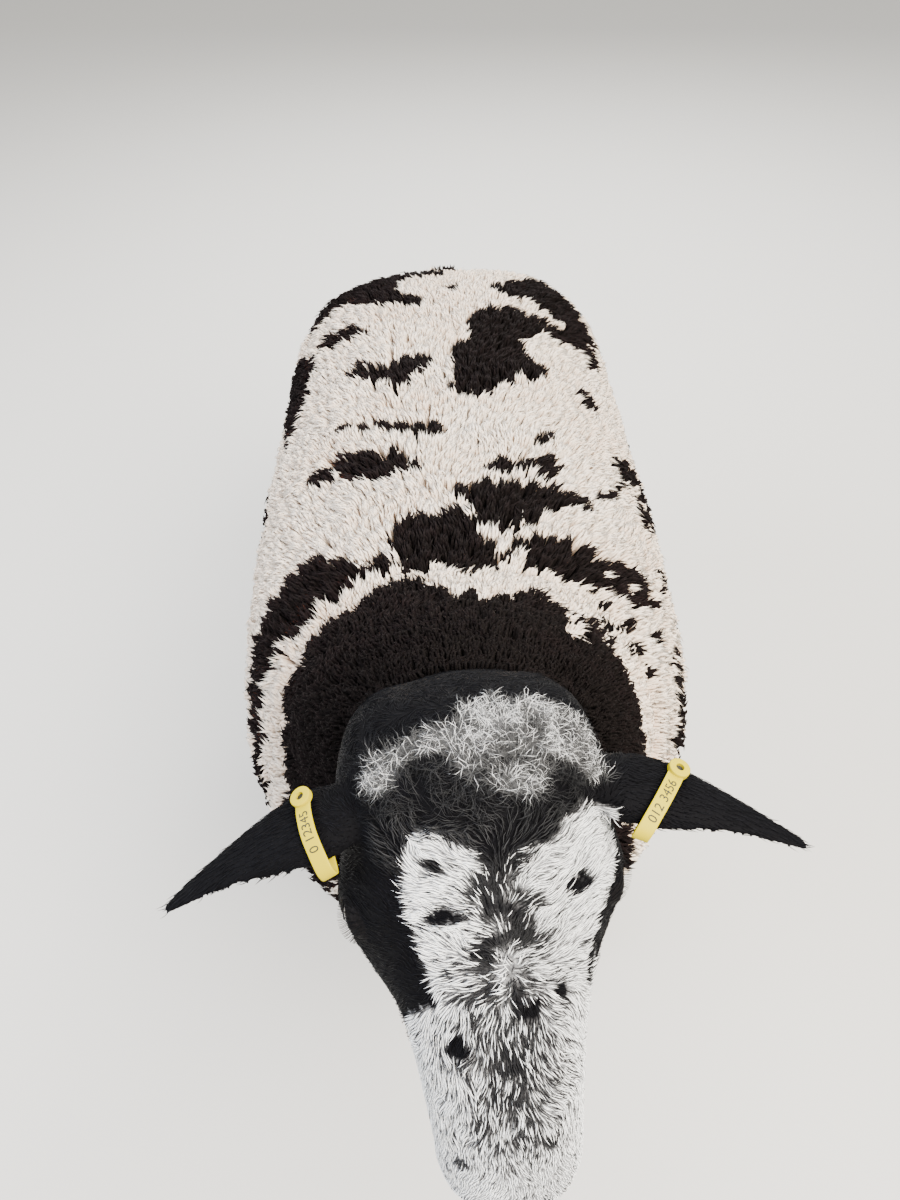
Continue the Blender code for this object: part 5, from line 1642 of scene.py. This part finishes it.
def make_tag(side, word):
    """A one-piece loop tag, its button on the back of the ear and its strap round the front edge."""
    middle, run, back, reach, path, faces = tag_frame(side)
    fine = blend_rows(path, 8)
    points = middle + np.outer(fine[:, 0], back) + np.outer(fine[:, 1], reach)
    strap = swept("tag_" + word, points, run, TAG_STRAP_WIDTH / 2, TAG_STRAP_THICKNESS / 2)
    pinned = middle - reach * TAG_BACK
    top, low = faces(-TAG_BACK)[0], faces(-TAG_BACK)[1] - TAG_DROP
    for name, radius, base, height in (("button", TAG_BUTTON_RADIUS, top + 0.0024, 0.0042),
                                       ("under", TAG_BUTTON_RADIUS * 0.9, low - 0.0016, 0.0030),
                                       ("pin", 0.0018, low - 0.0010, top - low + 0.0044)):
        piece = rod(name, pinned + back * base, back, radius, height)
        if name != "pin":
            finish_with(piece, "BEVEL", width=0.0007, segments=3, limit_method="ANGLE")
        combine(strap, piece)
    eyelet = rod("eyelet", pinned + back * (top + 0.0040), back, TAG_BUTTON_HOLE, 0.006)
    return smooth_shaded(combine(strap, eyelet, "DIFFERENCE"), 35)


def make_digits(side, word, text):
    """Plain digits printed along the strap, laid on its outer face."""
    middle, run, back, reach, path, faces = tag_frame(side)
    fine = blend_rows(path, 24)
    points = middle + np.outer(fine[:, 0], back) + np.outer(fine[:, 1], reach)
    gone = unit_rows(np.gradient(points, axis=0))
    length = np.concatenate(([0], np.cumsum(np.linalg.norm(np.diff(points, axis=0), axis=1))))
    deselect()
    bpy.ops.object.text_add()
    letters = bpy.context.object
    letters.data.body = text
    letters.data.size = DIGIT_SIZE
    letters.data.extrude = DIGIT_RELIEF
    letters.data.align_x, letters.data.align_y = "LEFT", "CENTER"
    bpy.ops.object.convert(target="MESH")
    letters.name = "tag_digits_" + word
    flat = np.empty(len(letters.data.vertices) * 3)
    letters.data.vertices.foreach_get("co", flat)
    flat = flat.reshape(-1, 3)
    where = DIGITS_START + flat[:, 0].max() - flat[:, 0]
    placed, forward = (np.stack([np.interp(where, length, rows[:, k]) for k in range(3)], 1)
                       for rows in (points, gone))
    across = unit_rows(run[None] - forward * (forward @ run)[:, None])
    thick = np.cross(forward, across)
    thick *= np.sign(thick @ back)[:, None]
    lift = TAG_STRAP_THICKNESS / 2 + 0.00004 + flat[:, 2]
    rise = -side * (flat[:, 1] - (flat[:, 1].max() + flat[:, 1].min()) / 2)
    set_mesh_points(letters, placed + across * rise[:, None] + thick * lift[:, None])
    pin = rod("pin_end", middle - reach * TAG_BACK + back * (faces(-TAG_BACK)[0] + 0.0041), back,
              TAG_BUTTON_HOLE * 0.97, 0.0006)
    activate(letters)
    pin.select_set(True)
    bpy.ops.object.join()
    # The bend turns some letters' shells inside out
    bpy.ops.object.mode_set(mode="EDIT")
    bpy.ops.mesh.select_all(action="SELECT")
    bpy.ops.mesh.normals_make_consistent(inside=False)
    bpy.ops.object.mode_set(mode="OBJECT")
    return letters


class SheepSkinSettings(bpy.types.PropertyGroup):
    body_voxel: FloatProperty(
        name="Body grain", description="Grain of the hide below the wool", default=0.006, min=0.003,
        max=0.02, subtype="DISTANCE", unit="LENGTH")
    head_voxel: FloatProperty(
        name="Head grain", description="Grain of the face and ears", default=0.0016, min=0.001,
        max=0.01, subtype="DISTANCE", unit="LENGTH")


class SheepFleeceSettings(bpy.types.PropertyGroup):
    spacing: FloatProperty(
        name="Wisp spacing", description="Distance between wisps on the flanks", default=0.0037,
        min=0.002, max=0.05, subtype="DISTANCE", unit="LENGTH")
    staple: FloatProperty(
        name="Staple size", description="Distance between the staples that wisps form", default=0.0120,
        min=0.006, max=0.05, subtype="DISTANCE", unit="LENGTH")
    gather: FloatProperty(
        name="Gather", description="How far wisps lean together to their staple's tip", default=0.55,
        min=0.0, max=1.0, subtype="FACTOR")
    length: FloatProperty(
        name="Staple length", description="How far a staple runs along the body", default=0.024,
        min=0.005, max=0.10, subtype="DISTANCE", unit="LENGTH")
    width: FloatProperty(
        name="Wisp width", description="Width of a wisp on the flanks at its middle", default=0.0056,
        min=0.002, max=0.04, subtype="DISTANCE", unit="LENGTH")
    curl: FloatProperty(
        name="Curl", description="How far a staple sways from its line", default=0.0016, min=0.0,
        max=0.01, subtype="DISTANCE", unit="LENGTH")


class SheepHairSettings(bpy.types.PropertyGroup):
    spacing: FloatProperty(
        name="Hair spacing", description="Mean distance between tufts on the face", default=0.00122,
        min=0.001, max=0.01, subtype="DISTANCE", unit="LENGTH")
    length: FloatProperty(
        name="Hair length", description="Length of a tuft on the face", default=0.0072, min=0.001,
        max=0.03, subtype="DISTANCE", unit="LENGTH")
    width: FloatProperty(
        name="Tuft width", description="Width of a tuft on the face", default=0.00064, min=0.0002,
        max=0.01, subtype="DISTANCE", unit="LENGTH")
    rise: FloatProperty(
        name="Hair rise", description="How far a tuft stands off the skin", default=0.0014, min=0.0,
        max=0.01, subtype="DISTANCE", unit="LENGTH")


class SheepTagSettings(bpy.types.PropertyGroup):
    tag_colour: FloatVectorProperty(
        name="Tag colour", description="Colour of the ear tags", subtype="COLOR", size=4,
        default=colour("#9A8C00"), min=0, max=1)


class SheepStageSettings(bpy.types.PropertyGroup):
    floor_colour: FloatVectorProperty(
        name="Floor colour", description="Colour of the floor", subtype="COLOR", size=4,
        default=colour("#B0AFAB"), min=0, max=1)
    light_power: FloatProperty(
        name="Key light", description="Power of the large soft light", default=520.0, min=0.0,
        max=5000.0, unit="POWER")


FLESH = ["torso", "neck", "tail", "head", "ear_left", "ear_right"]
FLESH += [part + "_" + word for part in ("leg", "shank") for word, *_ in LEGS]


def find(name):
    """A thing that an earlier step made."""
    thing = bpy.data.objects.get(name)
    if thing is None:
        raise RuntimeError(name + " has to be made first")
    return thing


class SHEEP_OT_skin(bpy.types.Operator):
    """Model the hide with its muzzle, lids, ears and legs as one surface"""
    bl_idname = "sheep.skin"
    bl_label = "Skin"

    def execute(self, context):
        sizes = context.scene.sheep_skin
        body = make_body_skin(sizes.body_voxel)
        head = make_head_skin(sizes.head_voxel)
        # Thinned, the hide stays under the most triangles that a piece may have
        for hide, share in ((body, 0.36), (head, 0.40)):
            finish_with(hide, "DECIMATE", ratio=share)
        deselect()
        head.select_set(True)
        body.select_set(True)
        context.view_layer.objects.active = body
        bpy.ops.object.join()
        body.name = "skin"
        skin_markings(body)
        dress(smooth_shaded(body), skin_material())
        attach(body, "root")
        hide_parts(*FLESH)
        return {"FINISHED"}


class SHEEP_OT_fleece(bpy.types.Operator):
    """Grow the wool as staples that lie back and down, in one piece for each part of the body"""
    bl_idname = "sheep.fleece"
    bl_label = "Fleece"

    def execute(self, context):
        wool = wool_material()
        for piece in make_fleece(find("skin"), context.scene.sheep_fleece):
            dress(piece, wool)
            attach(piece, "root")
        return {"FINISHED"}


class SHEEP_OT_hair(bpy.types.Operator):
    """Grow the short hair of the face, poll, nape, ears and legs"""
    bl_idname = "sheep.hair"
    bl_label = "Short hair"

    def execute(self, context):
        hair = hair_material()
        sizes = context.scene.sheep_hair
        for piece in make_face_hair(find("skin"), sizes) + make_leg_hair(find("skin"), sizes):
            dress(piece, hair)
            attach(piece, "root")
        return {"FINISHED"}


class SHEEP_OT_eyes(bpy.types.Operator):
    """Make the eyes and the rims of their lids"""
    bl_idname = "sheep.eyes"
    bl_label = "Eyes"

    def execute(self, context):
        wet = eye_material()
        # Bare black lid skin: one dull black, a little shinier than the hair round it
        rim = new_material("bare lid skin", Base_Color=colour("#070606"), Roughness=0.60,
                           Specular_IOR_Level=0.10)[0]
        for side, word in ((1, "left"), (-1, "right")):
            eye = dress(make_eye(side, word), wet)
            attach(eye, "root")
            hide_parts("eye_" + word)
            lids = dress(make_lids(side, word), rim)
            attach(lids, "root")
            lashes = dress(make_lashes(side, word), rim)
            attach(lashes, "root")
        return {"FINISHED"}


class SHEEP_OT_hooves(bpy.types.Operator):
    """Make two horn claws for every foot"""
    bl_idname = "sheep.hooves"
    bl_label = "Hooves"

    def execute(self, context):
        horn = horn_material()
        for word, rows, side, step in LEGS:
            for claw_side, claw_word in ((1, "left"), (-1, "right")):
                name = f"hoof_{word}_{claw_word}_claw"
                claw = dress(make_claw(name.replace("hoof", "horn"), rows, side, step, claw_side), horn)
                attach(claw, "root")
                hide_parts(name)
        return {"FINISHED"}


class SHEEP_OT_tags(bpy.types.Operator):
    """Make the two loop tags with plain digits on their straps"""
    bl_idname = "sheep.tags"
    bl_label = "Ear tags"

    def execute(self, context):
        # Moulded polyurethane: one even yellow with a soft, weak shine
        plastic = new_material("yellow polyurethane", Base_Color=context.scene.sheep_tags.tag_colour,
                               Roughness=0.50, Specular_IOR_Level=0.12)[0]
        # Laser-darkened print: dull black on the softly shining strap
        print_ink = new_material("dark tag print", Base_Color=colour("#15150C"), Roughness=0.8)[0]
        for side, word, text in ((1, "left", "012 3456"), (-1, "right", "0 12345")):
            tag = dress(make_tag(side, word), plastic)
            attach(tag, "root")
            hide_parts("ear_tag_" + word)
            digits = dress(make_digits(side, word, text), print_ink)
            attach(digits, "root")
        return {"FINISHED"}


class SHEEP_OT_stage(bpy.types.Operator):
    """Set the pale floor, the soft light and the camera at the photograph's angle"""
    bl_idname = "sheep.stage"
    bl_label = "Stage"

    def execute(self, context):
        settings = context.scene.sheep_stage
        deselect()
        bpy.ops.mesh.primitive_plane_add(size=14.0, location=(0, 0, 0))
        floor = context.object
        floor.name = "floor"
        # Matt painted board: pale and even, so that the coat's shadow stays soft
        paint = new_material("pale matt floor", Base_Color=settings.floor_colour, Roughness=0.9)[0]
        dress(floor, paint)
        world = context.scene.world or bpy.data.worlds.new("studio")
        context.scene.world = world
        world.use_nodes = True
        sky = world.node_tree.nodes["Background"]
        sky.inputs["Color"].default_value = colour("#F3F2F0")
        sky.inputs["Strength"].default_value = 1.4
        for name, place, size, power, code in (
                ("key", (1.3, -1.6, 3.0), 2.0, settings.light_power, "#FFF6EA"),
                ("fill", (-2.4, -0.6, 2.2), 2.2, settings.light_power * 0.4, "#EEF3FF"),
                ("rear", (0.4, 2.6, 2.6), 2.0, settings.light_power * 0.5, "#FFFFFF")):
            lamp_data = bpy.data.lights.new(name, "AREA")
            lamp_data.energy, lamp_data.size, lamp_data.color = power, size, colour(code)[:3]
            lamp = add_object(name, lamp_data)
            lamp.location = place
            aim = Vector((0.0, -0.1, 0.7)) - Vector(place)
            lamp.rotation_euler = aim.to_track_quat("-Z", "Y").to_euler()
        camera_data = bpy.data.cameras.new("camera")
        camera_data.sensor_fit, camera_data.sensor_height = "VERTICAL", CAMERA_SENSOR
        camera_data.lens, camera_data.clip_start = CAMERA_LENS, 0.05
        camera = add_object("camera", camera_data)
        ahead = Vector((0, math.cos(CAMERA_PITCH), -math.sin(CAMERA_PITCH)))
        right = Vector((1, 0, 0))
        up = right.cross(ahead)
        rolled = right * math.cos(CAMERA_ROLL) + up * math.sin(CAMERA_ROLL)
        top = up * math.cos(CAMERA_ROLL) - right * math.sin(CAMERA_ROLL)
        camera.location = Vector(CAMERA_PLACE + SHIFT)
        camera.rotation_euler = Matrix((rolled, top, -ahead)).transposed().to_euler()
        context.scene.camera = camera
        return {"FINISHED"}


class SHEEP_PT_panel(bpy.types.Panel):
    """Lists the sheep's pieces and their sizes"""
    bl_label = "Dutch spotted sheep"
    bl_idname = "SHEEP_PT_panel"
    bl_space_type = "VIEW_3D"
    bl_region_type = "UI"
    bl_category = "Sheep"

    def draw(self, context):
        groups = {"sheep.skin": context.scene.sheep_skin, "sheep.fleece": context.scene.sheep_fleece,
                  "sheep.hair": context.scene.sheep_hair, "sheep.eyes": None, "sheep.hooves": None,
                  "sheep.tags": context.scene.sheep_tags, "sheep.stage": context.scene.sheep_stage}
        for command, group in groups.items():
            box = self.layout.box()
            if group is not None:
                for key in group.__annotations__:
                    box.prop(group, key)
            box.operator(command)


SETTINGS = {"sheep_skin": SheepSkinSettings, "sheep_fleece": SheepFleeceSettings,
            "sheep_hair": SheepHairSettings, "sheep_tags": SheepTagSettings,
            "sheep_stage": SheepStageSettings}
CLASSES = (*SETTINGS.values(), SHEEP_OT_skin, SHEEP_OT_fleece, SHEEP_OT_hair, SHEEP_OT_eyes,
           SHEEP_OT_hooves, SHEEP_OT_tags, SHEEP_OT_stage, SHEEP_PT_panel)


def register():
    """Add the add-on's classes, and its settings to every scene."""
    for cls in CLASSES:
        bpy.utils.register_class(cls)
    for key, cls in SETTINGS.items():
        setattr(bpy.types.Scene, key, PointerProperty(type=cls))


def unregister():
    """Take the settings and the classes away again."""
    for key in SETTINGS:
        delattr(bpy.types.Scene, key)
    for cls in reversed(CLASSES):
        bpy.utils.unregister_class(cls)


def main():
    """Make every piece and the stage in order."""
    register()
    for step in ("skin", "fleece", "hair", "eyes", "hooves", "tags", "stage"):
        getattr(bpy.ops.sheep, step)()


if __name__ == "__main__":
    main()
